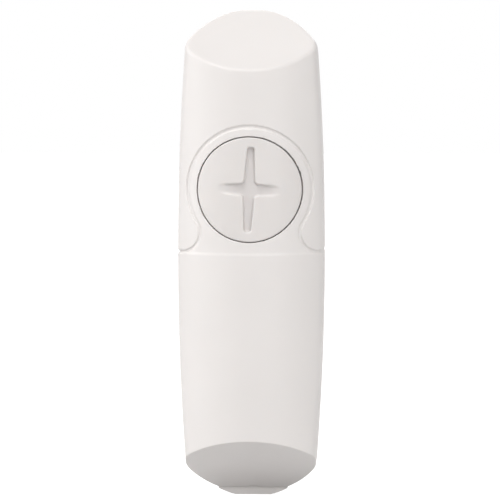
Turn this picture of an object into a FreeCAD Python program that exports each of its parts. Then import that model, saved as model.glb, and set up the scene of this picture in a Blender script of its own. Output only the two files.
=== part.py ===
import FreeCAD, Part
import math
import os

import Sketcher
from FreeCAD import Placement, Rotation, Vector

# Wireless shock detector, in millimetres. X is to the right, Z up along the body, and the front
# faces -Y. The origin is the centre of the face that lies on the wall.

doc = FreeCAD.newDocument("shock_detector")

SIZES = {
    # casing
    "body_length": 112.0,
    "body_width": 33.2,
    "body_depth": 24.5,
    "barrel_radius": 640.0,
    "end_radius": 17.6,
    "corner_round": 3.5,
    "crown_radius": 19.5,
    "shoulder_radius": 4.5,
    "flank_radius": 40.0,
    "flank_height": 13.0,
    "cover_wall": 1.6,
    "wall_gap": 0.3,
    "side_gap": 0.3,
    "face_gap": 0.3,
    "run_gap": 0.05,
    "top_bevel_angle": 37.4,
    "foot_bevel_angle": 32.5,
    "foot_tongue_reach": 1.4,
    "foot_tongue_depth": 3.0,
    "foot_tongue_half": 8.0,
    "foot_flat": 0.5,
    "pry_notch_half": 1.75,
    "pry_notch_rise": 1.5,
    "pry_notch_depth": 1.2,
    # lines moulded in the cover
    "line_width": 0.5,
    "line_depth": 0.3,
    "collar_radius": 14.0,
    "collar_blend_radius": 4.5,
    "level_line_height": 1.2,
    # hinge at the top
    "hinge_round": 4.4,
    "hinge_barrel_radius": 3.2,
    "hinge_barrel_half": 3.1,
    "hinge_pin_radius": 0.7,
    "hinge_pin_proud": 0.2,
    "hinge_ear_width": 2.0,
    "hinge_ear_radius": 1.6,
    "hinge_ear_back": 1.0,
    "hinge_turn_gap": 1.6,
    # lock
    "disc_height": 15.5,
    "disc_radius": 11.65,
    "disc_rim_gap": 0.4,
    "disc_thickness": 5.0,
    "cross_depth": 1.15,
    "cross_reach": 9.4,
    "cross_tip_width": 1.6,
    "cross_root_width": 2.9,
    "cross_inner_round": 0.6,
    "cup_wall": 1.5,
    "cup_floor": 1.2,
    "shank_radius": 3.0,
    "bore_boss_radius": 4.6,
    "bore_length": 3.0,
    "drive_square": 4.0,
    "cam_thickness": 1.4,
    "cam_hub_radius": 4.0,
    "cam_reach": 8.6,
    "cam_width": 5.0,
    "lock_screw_radius": 0.9,
    "lock_screw_length": 4.0,
    "lock_screw_head_radius": 1.9,
    "lock_screw_head": 1.2,
    "lock_washer_radius": 3.2,
    "lock_washer_thickness": 0.5,
    "keeper_metal": 1.2,
    "keeper_half": 4.0,
    "keeper_foot_past_screw": 2.4,
    "keeper_lip_reach": 2.1,
    "keeper_side_gap": 0.6,
    "keeper_slot_gap": 0.4,
    "keeper_bend": 0.6,
    # back plate
    "floor_thickness": 2.2,
    "rim_height": 7.0,
    "rim_wall": 1.2,
    "wall_screw_top": 40.0,
    "wall_screw_foot": 44.0,
    "wall_screw_hole": 2.1,
    "wall_screw_head": 4.1,
    "wall_screw_sink": 0.8,
    "guide_half": 3.0,
    "guide_side_gap": 0.6,
    "guide_from_screw": 0.3,
    "guide_thickness": 1.2,
    "guide_height": 7.0,
    "guide_rib_gap": 0.3,
    "guide_rib": 1.0,
    "guide_rib_foot": 4.2,
    "guide_rib_head": 7.6,
    "guide_rib_side": 2.2,
    # circuit board
    "board_half": 11.6,
    "board_top": 36.0,
    "board_foot": 6.4,
    "board_thickness": 1.6,
    "board_lift": 2.0,
    "board_corner": 1.5,
    "board_boss_radius": 2.3,
    "board_screw_radius": 1.0,
    "board_screw_length": 4.6,
    "board_screw_point_gap": 0.2,
    "board_screw_head_radius": 1.9,
    "board_screw_head": 1.3,
    "board_screw_foot_height": 3.4,
    "board_screw_top_height": 33.4,
    "board_screw_top_side": -8.6,
    "board_post_radius": 1.4,
    "board_post_side": 9.8,
    "board_post_height": 11.0,
    # battery
    "cell_radius": 7.8,
    "cell_length": 26.2,
    "cell_nub_radius": 2.9,
    "cell_nub": 0.8,
    "cell_edge_round": 0.8,
    "cell_top": 9.6,
    "cradle_floor": 1.0,
    "cradle_half": 9.6,
    "cradle_height": 8.4,
    "contact_height": 12.8,
    "contact_foot_height": 5.4,
    "cradle_end": 1.2,
    "cell_gap": 0.3,
    "contact_metal": 0.4,
    "contact_half": 3.6,
    "contact_spring_reach": 1.4,
    "contact_tail": 0.8,
    "lead_radius": 0.4,
    "lead_lift": 1.3,
    "lead_bend": 1.5,
    "lead_tail": 2.0,
    # sensing element
    "sensor_side": 8.0,
    "sensor_foot_height": 12.8,
    "sensor_clamp_half": 2.6,
    "sensor_clamp_length": 3.6,
    "sensor_clamp_rise": 4.2,
    "beam_half": 1.5,
    "beam_thickness": 0.6,
    "beam_length": 15.0,
    "beam_rise": 2.4,
    "weight_radius": 2.3,
    "weight_length": 4.0,
    # radio
    "radio_left": -2.2,
    "radio_right": 9.8,
    "radio_foot_height": 24.8,
    "radio_length": 10.6,
    "radio_board_thickness": 0.8,
    "shield_margin": 0.7,
    "shield_rise": 2.0,
    "shield_metal": 0.25,
    "antenna_wire_radius": 0.4,
    "antenna_side": 10.9,
    "antenna_rise": 7.0,
    "antenna_foot_height": 2.0,
    "antenna_top_height": 31.5,
    "antenna_bend": 2.0,
    # parts on the board
    "chip_half": 3.5,
    "chip_rise": 1.0,
    "chip_side": 0.4,
    "chip_height": 16.6,
    "crystal_half": 1.6,
    "crystal_length": 5.0,
    "crystal_rise": 1.3,
    "crystal_side": -4.6,
    "crystal_height": 29.0,
    "reservoir_radius": 2.5,
    "reservoir_rise": 6.2,
    "reservoir_side": 7.6,
    "reservoir_height": 15.6,
    "lamp_half": 1.0,
    "lamp_rise": 0.9,
    "pipe_side": 7.3,
    "pipe_height": 22.8,
    "pipe_radius": 1.1,
    "pipe_above_lamp": 0.5,
    "pipe_flange_radius": 1.7,
    "pipe_flange": 0.6,
    "small_part_width": 0.9,
    "small_part_length": 1.7,
    "small_part_rise": 0.6,
    "small_part_pitch": 2.0,
    "small_part_height": 22.4,
    "small_part_low_height": 10.4,
    # switch, button, trimmer and jumper
    "switch_half": 3.0,
    "switch_rise": 3.4,
    "stem_radius": 1.7,
    "stem_gap": 0.15,
    "stem_seat": 2.4,
    "tamper_side": 8.2,
    "tamper_height": -2.8,
    "tamper_stem_top": 14.4,
    "tamper_post_radius": 2.0,
    "tamper_travel": 1.0,
    "learn_side": -8.2,
    "learn_height": -2.8,
    "learn_stem_top": 10.6,
    "learn_travel": 0.6,
    "dome_radius": 1.4,
    "dome_rise": 0.25,
    "dome_metal": 0.12,
    "stem_stop_gap": 0.05,
    "stem_round": 0.4,
    "trimmer_side": -8.0,
    "trimmer_height": 6.2,
    "trimmer_half": 3.2,
    "trimmer_rise": 3.0,
    "rotor_radius": 2.3,
    "rotor_proud": 0.6,
    "rotor_seat": 1.6,
    "rotor_slot_width": 0.6,
    "rotor_slot_depth": 0.7,
    "jumper_side": 7.6,
    "jumper_height": 6.6,
    "pin_pitch": 2.54,
    "pin_half": 0.32,
    "pin_rise": 7.6,
    "header_half": 1.25,
    "header_rise": 2.5,
    "jumper_cap_rise": 5.6,
    "jumper_cap_lift": 0.1,
    "jumper_cap_wall": 0.15,
}

sheet = doc.addObject("Spreadsheet::Sheet", "sizes")
for row, (alias, number) in enumerate(SIZES.items(), start=1):
    sheet.set(f"A{row}", alias)
    sheet.set(f"B{row}", str(number))
    sheet.setAlias(f"B{row}", alias)
doc.recompute()


class Size:
    # A length that carries its number and the sheet expression that gives it.
    def __init__(self, number, text):
        self.number = number
        self.text = text

    def __add__(self, other):
        other = as_size(other)
        return Size(self.number + other.number, f"({self.text} + {other.text})")

    def __radd__(self, other):
        return as_size(other) + self

    def __sub__(self, other):
        other = as_size(other)
        return Size(self.number - other.number, f"({self.text} - {other.text})")

    def __rsub__(self, other):
        return as_size(other) - self

    def __mul__(self, other):
        other = as_size(other)
        return Size(self.number * other.number, f"({self.text} * {other.text})")

    def __rmul__(self, other):
        return as_size(other) * self

    def __truediv__(self, other):
        other = as_size(other)
        return Size(self.number / other.number, f"({self.text} / {other.text})")

    def __neg__(self):
        return Size(-self.number, f"(0 - {self.text})")


def as_size(value):
    return value if isinstance(value, Size) else Size(float(value), f"({float(value)!r})")


def root(size):
    return Size(math.sqrt(size.number), f"sqrt({size.text})")


def sine(angle):
    return Size(math.sin(math.radians(angle.number)), f"sin({angle.text})")


def cosine(angle):
    return Size(math.cos(math.radians(angle.number)), f"cos({angle.text})")


class Named:
    # One attribute for each size in the sheet.
    pass


d = Named()
for alias, number in SIZES.items():
    setattr(d, alias, Size(number, f"sizes.{alias}"))

# Places worked out from the sizes


def half_width(height):
    return d.body_width / 2 - (d.barrel_radius - root(d.barrel_radius * d.barrel_radius - height * height))


top = d.body_length / 2
front = -d.body_depth
cover_back = -d.wall_gap
hinge_y = cover_back - d.hinge_round
hinge_z = top - d.hinge_round
hinge_clear_z = hinge_z - d.hinge_round - d.hinge_turn_gap
floor_front = -d.floor_thickness
board_back = floor_front - d.board_lift
board_front = board_back - d.board_thickness
disc_back = front + d.disc_thickness
cup_front = disc_back + d.face_gap
cup_back = cup_front + d.cup_floor
boss_back = cup_front + d.bore_length
cam_front = boss_back + d.face_gap
cam_back = cam_front + d.cam_thickness
washer_back = cam_back + d.lock_washer_thickness
keeper_back = cam_front - d.face_gap
keeper_front = keeper_back - d.keeper_metal
keeper_post_foot = d.disc_height - d.cam_reach - d.keeper_side_gap - d.keeper_metal
cell_y = floor_front - d.cradle_floor - d.cell_gap - d.cell_radius
cell_foot = -d.cell_top - d.cell_length
guide_outside = -d.wall_screw_foot - d.wall_screw_head - d.guide_from_screw - d.guide_thickness
cradle_top = -d.cell_top + d.cell_nub + d.contact_metal + d.cell_gap + d.cradle_end
rim_inside = half_width(-cell_foot) - d.cover_wall - d.side_gap - d.rim_wall
lead_side = (d.cradle_half + rim_inside) / 2
cradle_foot = cell_foot - d.contact_spring_reach - d.contact_metal - d.cradle_end


def bind(item, path, size):
    item.setExpression(path, as_size(size).text)


def box(name, x, y, z):
    # Each of x, y and z is a pair, the low side and the high side.
    item = doc.addObject("Part::Box", name)
    for length, axis, (low, high) in (("Length", "x", x), ("Width", "y", y), ("Height", "z", z)):
        bind(item, length, high - low)
        bind(item, f"Placement.Base.{axis}", low)
    return item


TURN = {
    "x": Rotation(Vector(0, 1, 0), 90),
    "y": Rotation(Vector(1, 0, 0), -90),
    "z": Rotation(),
}


def rod(name, axis, radius, low, high, across):
    # A cylinder along an axis, from low to high. across holds its other two coordinates in order.
    item = doc.addObject("Part::Cylinder", name)
    bind(item, "Radius", radius)
    bind(item, "Height", high - low)
    item.Placement = Placement(Vector(), TURN[axis])
    bind(item, f"Placement.Base.{axis}", low)
    for other, place in zip([a for a in "xyz" if a != axis], across):
        bind(item, f"Placement.Base.{other}", place)
    return item


def cut(name, base, *tools):
    for number, tool in enumerate(tools, start=1):
        last = number == len(tools)
        item = doc.addObject("Part::Cut", name if last else f"{name}_cut_{number}")
        item.Base = base
        item.Tool = tool
        base = item
    return base


def fuse(name, *shapes):
    item = doc.addObject("Part::MultiFuse", name)
    item.Shapes = list(shapes)
    return item


def common(name, *shapes):
    item = doc.addObject("Part::MultiCommon", name)
    item.Shapes = list(shapes)
    return item


def group(name, *shapes):
    item = doc.addObject("Part::Compound", name)
    item.Links = list(shapes)
    return item


def new_body(name):
    return doc.addObject("PartDesign::Body", name)


def new_sketch(body, name, plane, offset=0):
    sketch = body.newObject("Sketcher::SketchObject", name)
    support = [item for item in body.Origin.OriginFeatures if item.Role == plane][0]
    sketch.AttachmentSupport = [(support, "")]
    sketch.MapMode = "FlatFace"
    bind(sketch, "AttachmentOffset.Base.z", offset)
    return sketch


def fix_point(sketch, edge, end, x, y):
    # Sets a point's place in the sketch by two bound constraints.
    for kind, place, axis in (("DistanceX", x, -2), ("DistanceY", y, -1)):
        place = as_size(place)
        if place.number == 0:
            sketch.addConstraint(Sketcher.Constraint("PointOnObject", edge, end, axis))
            continue
        made = Sketcher.Constraint(kind, -1, 1, edge, end, place.number)
        bind(sketch, f"Constraints[{sketch.addConstraint(made)}]", place)


def fix_radius(sketch, edge, radius):
    made = Sketcher.Constraint("Radius", edge, as_size(radius).number)
    bind(sketch, f"Constraints[{sketch.addConstraint(made)}]", radius)


def circle(sketch, x, y, radius):
    x, y, radius = as_size(x), as_size(y), as_size(radius)
    shape = Part.Circle(Vector(x.number, y.number, 0), Vector(0, 0, 1), radius.number)
    edge = sketch.addGeometry(shape, False)
    fix_point(sketch, edge, 3, x, y)
    fix_radius(sketch, edge, radius)


def outline(sketch, corners):
    # A closed outline. A corner is (x, y), or (x, y, radius) where an arc leaves it: the arc turns
    # left with a positive radius and right with a negative one.
    places = [Vector(as_size(c[0]).number, as_size(c[1]).number, 0) for c in corners]
    first = None
    starts = []
    ends = []
    for number, corner in enumerate(corners):
        here = places[number]
        there = places[(number + 1) % len(corners)]
        if len(corner) == 2:
            edge = sketch.addGeometry(Part.LineSegment(here, there), False)
            starts.append((edge, 1))
            ends.append((edge, 2))
        else:
            radius = as_size(corner[2])
            run = there - here
            left = Vector(-run.y, run.x, 0).normalize()
            turn = 1 if radius.number > 0 else -1
            lift = math.sqrt(max(radius.number ** 2 - (run.Length / 2) ** 2, 0))
            centre = here + run * 0.5 + left * (turn * lift)
            angles = [math.atan2((p - centre).y, (p - centre).x) for p in (here, there)]
            if turn < 0:
                angles.reverse()
            around = Part.Circle(centre, Vector(0, 0, 1), abs(radius.number))
            edge = sketch.addGeometry(Part.ArcOfCircle(around, *angles), False)
            starts.append((edge, 1 if turn > 0 else 2))
            ends.append((edge, 2 if turn > 0 else 1))
        first = edge if first is None else first
    for number, end in enumerate(ends):
        sketch.addConstraint(Sketcher.Constraint("Coincident", *end, *starts[(number + 1) % len(starts)]))
    for corner, start in zip(corners, starts):
        fix_point(sketch, *start, corner[0], corner[1])
        if len(corner) == 3:
            radius = as_size(corner[2])
            fix_radius(sketch, start[0], radius if radius.number > 0 else -radius)


def rectangle(sketch, x, y):
    outline(sketch, [(x[0], y[0]), (x[1], y[0]), (x[1], y[1]), (x[0], y[1])])


def feature(body, kind, name, sketch, **bound):
    item = body.newObject(f"PartDesign::{kind}", name)
    item.Profile = sketch
    for path, size in bound.items():
        bind(item, path, size)
    return item


def through(body, name, sketch):
    # A pocket that runs both ways through everything.
    item = feature(body, "Pocket", name, sketch)
    item.Type = "ThroughAll"
    item.SideType = "Symmetric"
    return item


# Casing: one form at five insets gives the cover's skin, its inside and the back plate's rim


def casing_section(body, name, height, inset, back):
    # Half of it from the middle out: crown, shoulder, flank and a straight wall, all tangent.
    sketch = new_sketch(body, name, "XY_Plane", height)
    side = half_width(as_size(height)) - inset
    crown = d.crown_radius - inset
    shoulder = d.shoulder_radius - inset
    flank = d.flank_radius - inset
    crown_centre = Vector(0, front.number + d.crown_radius.number, 0)
    flank_centre = Vector(side.number - flank.number, -d.flank_height.number, 0)
    apart = flank_centre - crown_centre
    crown_gap = crown.number - shoulder.number
    flank_gap = flank.number - shoulder.number
    along = (crown_gap ** 2 - flank_gap ** 2 + apart.Length ** 2) / (2 * apart.Length)
    across = math.sqrt(crown_gap ** 2 - along ** 2)
    ahead = Vector(apart).normalize()
    centre = crown_centre + ahead * along + Vector(-ahead.y, ahead.x, 0) * across
    meet_crown = crown_centre + (centre - crown_centre).normalize() * crown.number
    meet_flank = flank_centre + (centre - flank_centre).normalize() * flank.number

    def arc(middle, radius, start, end):
        angles = [math.atan2((p - middle).y, (p - middle).x) for p in (start, end)]
        shape = Part.ArcOfCircle(Part.Circle(middle, Vector(0, 0, 1), radius), *angles)
        return sketch.addGeometry(shape, False)

    def flip(point):
        return Vector(-point.x, point.y, 0)

    wall = Vector(side.number, -d.flank_height.number, 0)
    foot = Vector(side.number, as_size(back).number, 0)
    crown_arc = arc(crown_centre, crown.number, flip(meet_crown), meet_crown)
    right_shoulder = arc(centre, shoulder.number, meet_crown, meet_flank)
    right_flank = arc(flank_centre, flank.number, meet_flank, wall)
    right_wall = sketch.addGeometry(Part.LineSegment(wall, foot), False)
    back_line = sketch.addGeometry(Part.LineSegment(foot, flip(foot)), False)
    left_wall = sketch.addGeometry(Part.LineSegment(flip(foot), flip(wall)), False)
    left_flank = arc(flip(flank_centre), flank.number, flip(wall), flip(meet_flank))
    left_shoulder = arc(flip(centre), shoulder.number, flip(meet_flank), flip(meet_crown))
    right_side = [crown_arc, right_shoulder, right_flank, right_wall]
    chain = [*right_side, back_line, left_wall, left_flank, left_shoulder]
    smooth = {0, 1, 2, 5, 6, 7}
    for number, edge in enumerate(chain):
        kind = "Tangent" if number in smooth else "Coincident"
        sketch.addConstraint(Sketcher.Constraint(kind, edge, 2, chain[(number + 1) % len(chain)], 1))
    fix_point(sketch, crown_arc, 3, 0, front + d.crown_radius)
    fix_radius(sketch, crown_arc, crown)
    for edge in (right_shoulder, left_shoulder):
        fix_radius(sketch, edge, shoulder)
    for edge in (right_flank, left_flank):
        fix_radius(sketch, edge, flank)
    fix_point(sketch, right_wall, 1, side, -d.flank_height)
    fix_point(sketch, left_wall, 2, -side, -d.flank_height)
    fix_point(sketch, right_wall, 2, side, back)
    fix_point(sketch, left_wall, 1, -side, back)
    return sketch


def end_trim(body, name, inset, sign):
    # What lies outside the round end, seen from the front.
    radius = d.end_radius - inset
    centre = top - d.end_radius
    start_x = 0.98 * radius
    start_z = centre + root(radius * radius - start_x * start_x)
    far_x = d.body_width
    far_z = d.body_length
    sketch = new_sketch(body, name, "XZ_Plane")
    corners = [
        (start_x, sign * start_z, sign * radius),
        (-start_x, sign * start_z),
        (-far_x, sign * start_z),
        (-far_x, sign * far_z),
        (far_x, sign * far_z),
        (far_x, sign * start_z),
    ]
    outline(sketch, corners)
    return sketch


def top_bevel(body, name, inset, behind):
    # The upper bevel meets the round over the hinge as a tangent.
    radius = d.hinge_round - inset
    lean = sine(d.top_bevel_angle)
    run = cosine(d.top_bevel_angle)
    touch_y = hinge_y - radius * lean
    touch_z = hinge_z + radius * run
    fore = front - 2
    fore_z = touch_z - (touch_y - fore) * lean / run
    sketch = new_sketch(body, name, "YZ_Plane")
    corners = [
        (fore, fore_z),
        (touch_y, touch_z, -radius),
        (hinge_y, hinge_z + radius, -radius),
        (hinge_y + radius, hinge_z),
        (behind, hinge_z),
        (behind, top + 3),
        (fore, top + 3),
    ]
    outline(sketch, corners)
    return sketch


def foot_bevel(body, name, inset):
    lean = sine(d.foot_bevel_angle)
    run = cosine(d.foot_bevel_angle)
    edge_y = -d.foot_tongue_depth + inset * lean
    edge_z = d.foot_tongue_reach - top + inset * run
    fore = front - 2
    fore_z = edge_z + (edge_y - fore) * lean / run
    sketch = new_sketch(body, name, "YZ_Plane")
    outline(sketch, [(fore, fore_z), (fore, -top - 3), (edge_y, -top - 3), (edge_y, edge_z)])
    return sketch


def casing(name, inset, back, hinged=True):
    # hinged keeps the upper bevel and its round. The back plate ends below them.
    inset = as_size(inset)
    behind = as_size(back) + 1
    body = new_body(name)
    heights = [-top - 1, -top / 2, as_size(0), top / 2, top + 1]
    sections = [
        casing_section(body, f"{name}_section_{number}", height, inset, back)
        for number, height in enumerate(heights)
    ]
    loft = body.newObject("PartDesign::AdditiveLoft", f"{name}_loft")
    loft.Profile = sections[0]
    loft.Sections = sections[1:]
    through(body, f"{name}_top_round", end_trim(body, f"{name}_top_round_sketch", inset, 1))
    rounded = through(body, f"{name}_foot_round", end_trim(body, f"{name}_foot_round_sketch", inset, -1))
    doc.recompute()
    corner = d.corner_round - inset
    if corner.number > 0.2:
        upright = [
            f"Edge{number}"
            for number, edge in enumerate(rounded.Shape.Edges, start=1)
            if edge.BoundBox.YLength > 2
            and edge.BoundBox.XLength < 0.01
            and abs(edge.CenterOfMass.z) > top.number / 2
        ]
        fillet = body.newObject("PartDesign::Fillet", f"{name}_corners")
        fillet.Base = (rounded, upright)
        bind(fillet, "Radius", corner)
    if hinged:
        through(body, f"{name}_top_bevel", top_bevel(body, f"{name}_top_bevel_sketch", inset, behind))
    through(body, f"{name}_foot_bevel", foot_bevel(body, f"{name}_foot_bevel_sketch", inset))
    doc.recompute()
    return body


def turned(name, plane, corners, x=0, y=0, z=0):
    # A solid of revolution about the sketch's upright axis, then set at its place.
    body = new_body(name)
    sketch = new_sketch(body, f"{name}_profile", plane)
    outline(sketch, corners)
    made = feature(body, "Revolution", f"{name}_turned", sketch)
    made.ReferenceAxis = (sketch, ["V_Axis"])
    made.Angle = 360
    for axis, place in (("x", x), ("y", y), ("z", z)):
        bind(body, f"Placement.Base.{axis}", place)
    return body


def padded(name, plane, corners, offset, length, middle=False):
    body = new_body(name)
    sketch = new_sketch(body, f"{name}_profile", plane, offset)
    outline(sketch, corners)
    made = feature(body, "Pad", f"{name}_pad", sketch, Length=length)
    if middle:
        made.SideType = "Symmetric"
    return body


def front_rod(name, radius, low, high, side, height):
    return rod(name, "y", radius, low, high, (side, height))


def middle_of(side, half):
    side = as_size(side)
    return (side - half, side + half)


nodes = {}


# Front cover and the light pipe in it


def moulded_lines(block):
    # The collar ring, the level line, and the two blends between them, as deep as line_depth.
    half = d.line_width / 2
    reach = d.collar_radius + d.collar_blend_radius
    drop = d.disc_height - d.level_line_height - d.collar_blend_radius
    blend_x = root(reach * reach - drop * drop)
    blend_z = d.level_line_height + d.collar_blend_radius
    touch_z = d.disc_height - drop * d.collar_radius / reach
    fore = front - 1
    behind = -d.flank_height

    def ring(name, radius, side, height):
        outside = front_rod(f"{name}_outside", radius + half, fore, behind, side, height)
        inside = front_rod(f"{name}_inside", radius - half, fore - 1, behind + 1, side, height)
        return cut(name, outside, inside)

    across = middle_of(0, d.body_width)
    lines = [
        ring("collar_line", d.collar_radius, as_size(0), d.disc_height),
        box("level_line", across, (fore, as_size(1)), middle_of(d.level_line_height, half)),
    ]
    for name, sign in (("left", -1), ("right", 1)):
        side = sign * blend_x
        across = (as_size(0), side) if sign > 0 else (side, as_size(0))
        bend = ring(f"{name}_blend_ring", d.collar_blend_radius, side, blend_z)
        part = box(f"{name}_blend_zone", across, (fore - 1, behind + 1), (d.level_line_height, touch_z))
        lines.append(common(f"{name}_blend_line", bend, part))
    floor = casing("line_floor", d.line_depth, cover_back + 2)
    return cut("moulded_lines", fuse("line_tools", *lines), floor)


def front_cover():
    block = casing("cover_block", 0, cover_back)
    hollow = casing("cover_hollow", d.cover_wall, cover_back + 2)
    shell = cut("cover_shell", block, hollow)
    opening = d.disc_radius + d.disc_rim_gap
    cup_blank = front_rod("disc_cup_blank", opening + d.cup_wall, front - 1, cup_back, 0, d.disc_height)
    cup = common("disc_cup", cup_blank, block)
    boss = front_rod("shank_boss", d.bore_boss_radius, cup_front, boss_back, 0, d.disc_height)
    barrel_end = d.hinge_barrel_half
    barrel = rod("hinge_barrel", "x", d.hinge_barrel_radius, -barrel_end, barrel_end, (hinge_y, hinge_z))
    pin_end = barrel_end + d.side_gap + d.hinge_ear_width + d.hinge_pin_proud
    pins = rod("hinge_pins", "x", d.hinge_pin_radius, -pin_end, pin_end, (hinge_y, hinge_z))
    ribs = []
    for name, sign in (("left", -1), ("right", 1)):
        across = middle_of(sign * d.guide_rib_side, d.guide_rib / 2)
        along = (-top - 1, guide_outside - d.guide_rib_gap)
        blank = box(f"{name}_rib_blank", across, (-d.guide_rib_head, -d.guide_rib_foot), along)
        ribs.append(common(f"{name}_guide_rib", blank, block))
    post_tip = -d.tamper_stem_top - d.face_gap
    post_place = (d.tamper_side, d.tamper_height)
    post_blank = front_rod("tamper_post_blank", d.tamper_post_radius, front, post_tip, *post_place)
    post = common("tamper_post", post_blank, block)
    solid = fuse("cover_solid", shell, cup, boss, barrel, pins, post, *ribs)
    tongue_half = d.foot_tongue_half + d.side_gap
    notch_front = -d.foot_tongue_depth - d.face_gap
    notch_y = (notch_front, as_size(1))
    tongue_notch = box("tongue_notch", middle_of(0, tongue_half), notch_y, (-top - 1, guide_outside))
    notch_foot = d.foot_tongue_reach - top - 1
    notch_corners = [
        (-d.pry_notch_half, notch_foot),
        (d.pry_notch_half, notch_foot),
        (0, notch_foot + 1 + d.pry_notch_rise),
    ]
    notch_depth = d.foot_tongue_depth + d.pry_notch_depth
    pry_notch = padded("pry_notch", "XZ_Plane", notch_corners, d.foot_tongue_depth, notch_depth)
    shank_hole = d.shank_radius + d.run_gap
    pipe_hole = d.pipe_radius + d.run_gap
    tools = [
        front_rod("disc_opening", opening, front - 2, cup_front, 0, d.disc_height),
        front_rod("shank_bore", shank_hole, cup_front - 1, boss_back + 1, 0, d.disc_height),
        front_rod("pipe_hole", pipe_hole, cup_front - 1, cup_back + 1, d.pipe_side, d.pipe_height),
        tongue_notch,
        pry_notch,
        moulded_lines(block),
    ]
    nodes["front_cover"] = cut("front_cover", solid, *tools)
    return block


def light_pipe():
    flange_back = cup_back + d.pipe_flange
    foot = board_front - d.lamp_rise - d.pipe_above_lamp
    corners = [
        (0, cup_front),
        (d.pipe_radius, cup_front),
        (d.pipe_radius, cup_back),
        (d.pipe_flange_radius, cup_back),
        (d.pipe_flange_radius, flange_back),
        (d.pipe_radius, flange_back),
        (d.pipe_radius, foot),
        (0, foot),
    ]
    nodes["light_pipe"] = turned("light_pipe", "XY_Plane", corners, d.pipe_side, 0, d.pipe_height)


# Lock: the disc, the cam behind it and what holds them together


def cross_outline():
    # Four tapered arms with rounded inner corners, listed to the left round the disc's centre.
    tip = d.cross_tip_width / 2
    side = d.cross_root_width / 2
    bend = d.cross_inner_round
    corners = []
    for turn in range(4):
        arm = [(d.cross_reach, -tip), (d.cross_reach, tip), (side + bend, side, -bend), (side, side + bend)]
        for corner in arm:
            x, y = as_size(corner[0]), as_size(corner[1])
            for _ in range(turn):
                x, y = -y, x
            corners.append((x, y + d.disc_height, *corner[2:]))
    return corners


def lock(block):
    blank = front_rod("disc_blank", d.disc_radius, front - 1, disc_back, 0, d.disc_height)
    plate = common("disc_plate", blank, block)
    shank = front_rod("disc_shank", d.shank_radius, disc_back - 1, cam_front, 0, d.disc_height)
    half = d.drive_square / 2
    drive = box("disc_drive", (-half, half), (cam_front - 1, cam_back), middle_of(d.disc_height, half))
    cross_floor = d.body_depth - d.cross_depth
    cross = padded("cross_slot", "XZ_Plane", cross_outline(), cross_floor, d.cross_depth + 1)
    thread_end = washer_back - d.lock_screw_length - d.board_screw_point_gap
    thread_hole = d.lock_screw_radius + d.run_gap
    thread = front_rod("disc_thread", thread_hole, thread_end, cam_back + 1, 0, d.disc_height)
    nodes["lock_disc"] = cut("lock_disc", fuse("disc_solid", plate, shank, drive), cross, thread)

    middle = d.disc_height
    hub = d.cam_hub_radius
    side = d.cam_width / 2
    root_z = middle + root(hub * hub - side * side)
    tip_z = middle + root(d.cam_reach * d.cam_reach - side * side)
    corners = [
        (0, middle - hub, hub),
        (hub, middle, hub),
        (side, root_z),
        (side, tip_z, d.cam_reach),
        (-side, tip_z),
        (-side, root_z, hub),
        (-hub, middle, hub),
    ]
    blank = padded("cam_blank", "XZ_Plane", corners, -cam_back, d.cam_thickness)
    hole = half + d.run_gap
    square = box("cam_square", (-hole, hole), (cam_front - 1, cam_back + 1), middle_of(middle, hole))
    nodes["lock_cam"] = cut("lock_cam", blank, square)

    ring = front_rod("washer_blank", d.lock_washer_radius, cam_back, washer_back, 0, middle)
    eye = front_rod("washer_eye", d.lock_screw_radius + d.run_gap, cam_back - 1, washer_back + 1, 0, middle)
    nodes["lock_washer"] = cut("lock_washer", ring, eye)
    nodes["lock_screw"] = screw("lock_screw", washer_back, 1, d.lock_screw_radius, d.lock_screw_length,
                                d.lock_screw_head_radius, d.lock_screw_head, 0, middle)


def screw(name, seat, sign, radius, length, head_radius, head, side, height):
    # A pan-head screw along Y. sign is the way its head faces: 1 to the wall, -1 to the front.
    corners = [
        (0, seat - sign * length),
        (radius, seat - sign * length),
        (radius, seat),
        (head_radius, seat),
        (head_radius, seat + sign * head * 0.6),
        (head_radius * 0.7, seat + sign * head),
        (0, seat + sign * head),
    ]
    if sign < 0:
        corners = [corners[0]] + corners[:0:-1]
    body = turned(name, "XY_Plane", corners, side, 0, height)
    slot = new_sketch(body, f"{name}_slot_sketch", "XZ_Plane", -(seat + sign * head * 0.5))
    half = d.rotor_slot_width / 2
    rectangle(slot, (-head_radius, head_radius), (-half, half))
    groove = feature(body, "Pocket", f"{name}_slot", slot, Length=head)
    groove.Reversed = sign < 0
    return body


def lock_keeper():
    metal = d.keeper_metal
    foot_back = board_back + metal
    foot_end = -d.board_screw_foot_height - d.keeper_foot_past_screw
    lip_end = keeper_post_foot + metal + d.keeper_side_gap + d.keeper_lip_reach
    bend = d.keeper_bend
    corners = [
        (foot_back, foot_end),
        (foot_back, keeper_post_foot + metal),
        (keeper_back, keeper_post_foot + metal),
        (keeper_back, lip_end),
        (keeper_front, lip_end),
        (keeper_front, keeper_post_foot + bend, bend),
        (keeper_front + bend, keeper_post_foot),
        (board_back, keeper_post_foot),
        (board_back, foot_end),
    ]
    blank = padded("keeper_blank", "YZ_Plane", corners, 0, 2 * d.keeper_half, middle=True)
    hole = front_rod("keeper_hole", d.board_screw_radius + d.run_gap, board_back - 1, foot_back + 1,
                     0, -d.board_screw_foot_height)
    nodes["lock_keeper"] = cut("lock_keeper", blank, hole)


# Back plate

board_screw_places = [
    (as_size(0), -d.board_screw_foot_height, board_back + d.keeper_metal),
    (d.board_screw_top_side, d.board_screw_top_height, board_back),
]


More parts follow.
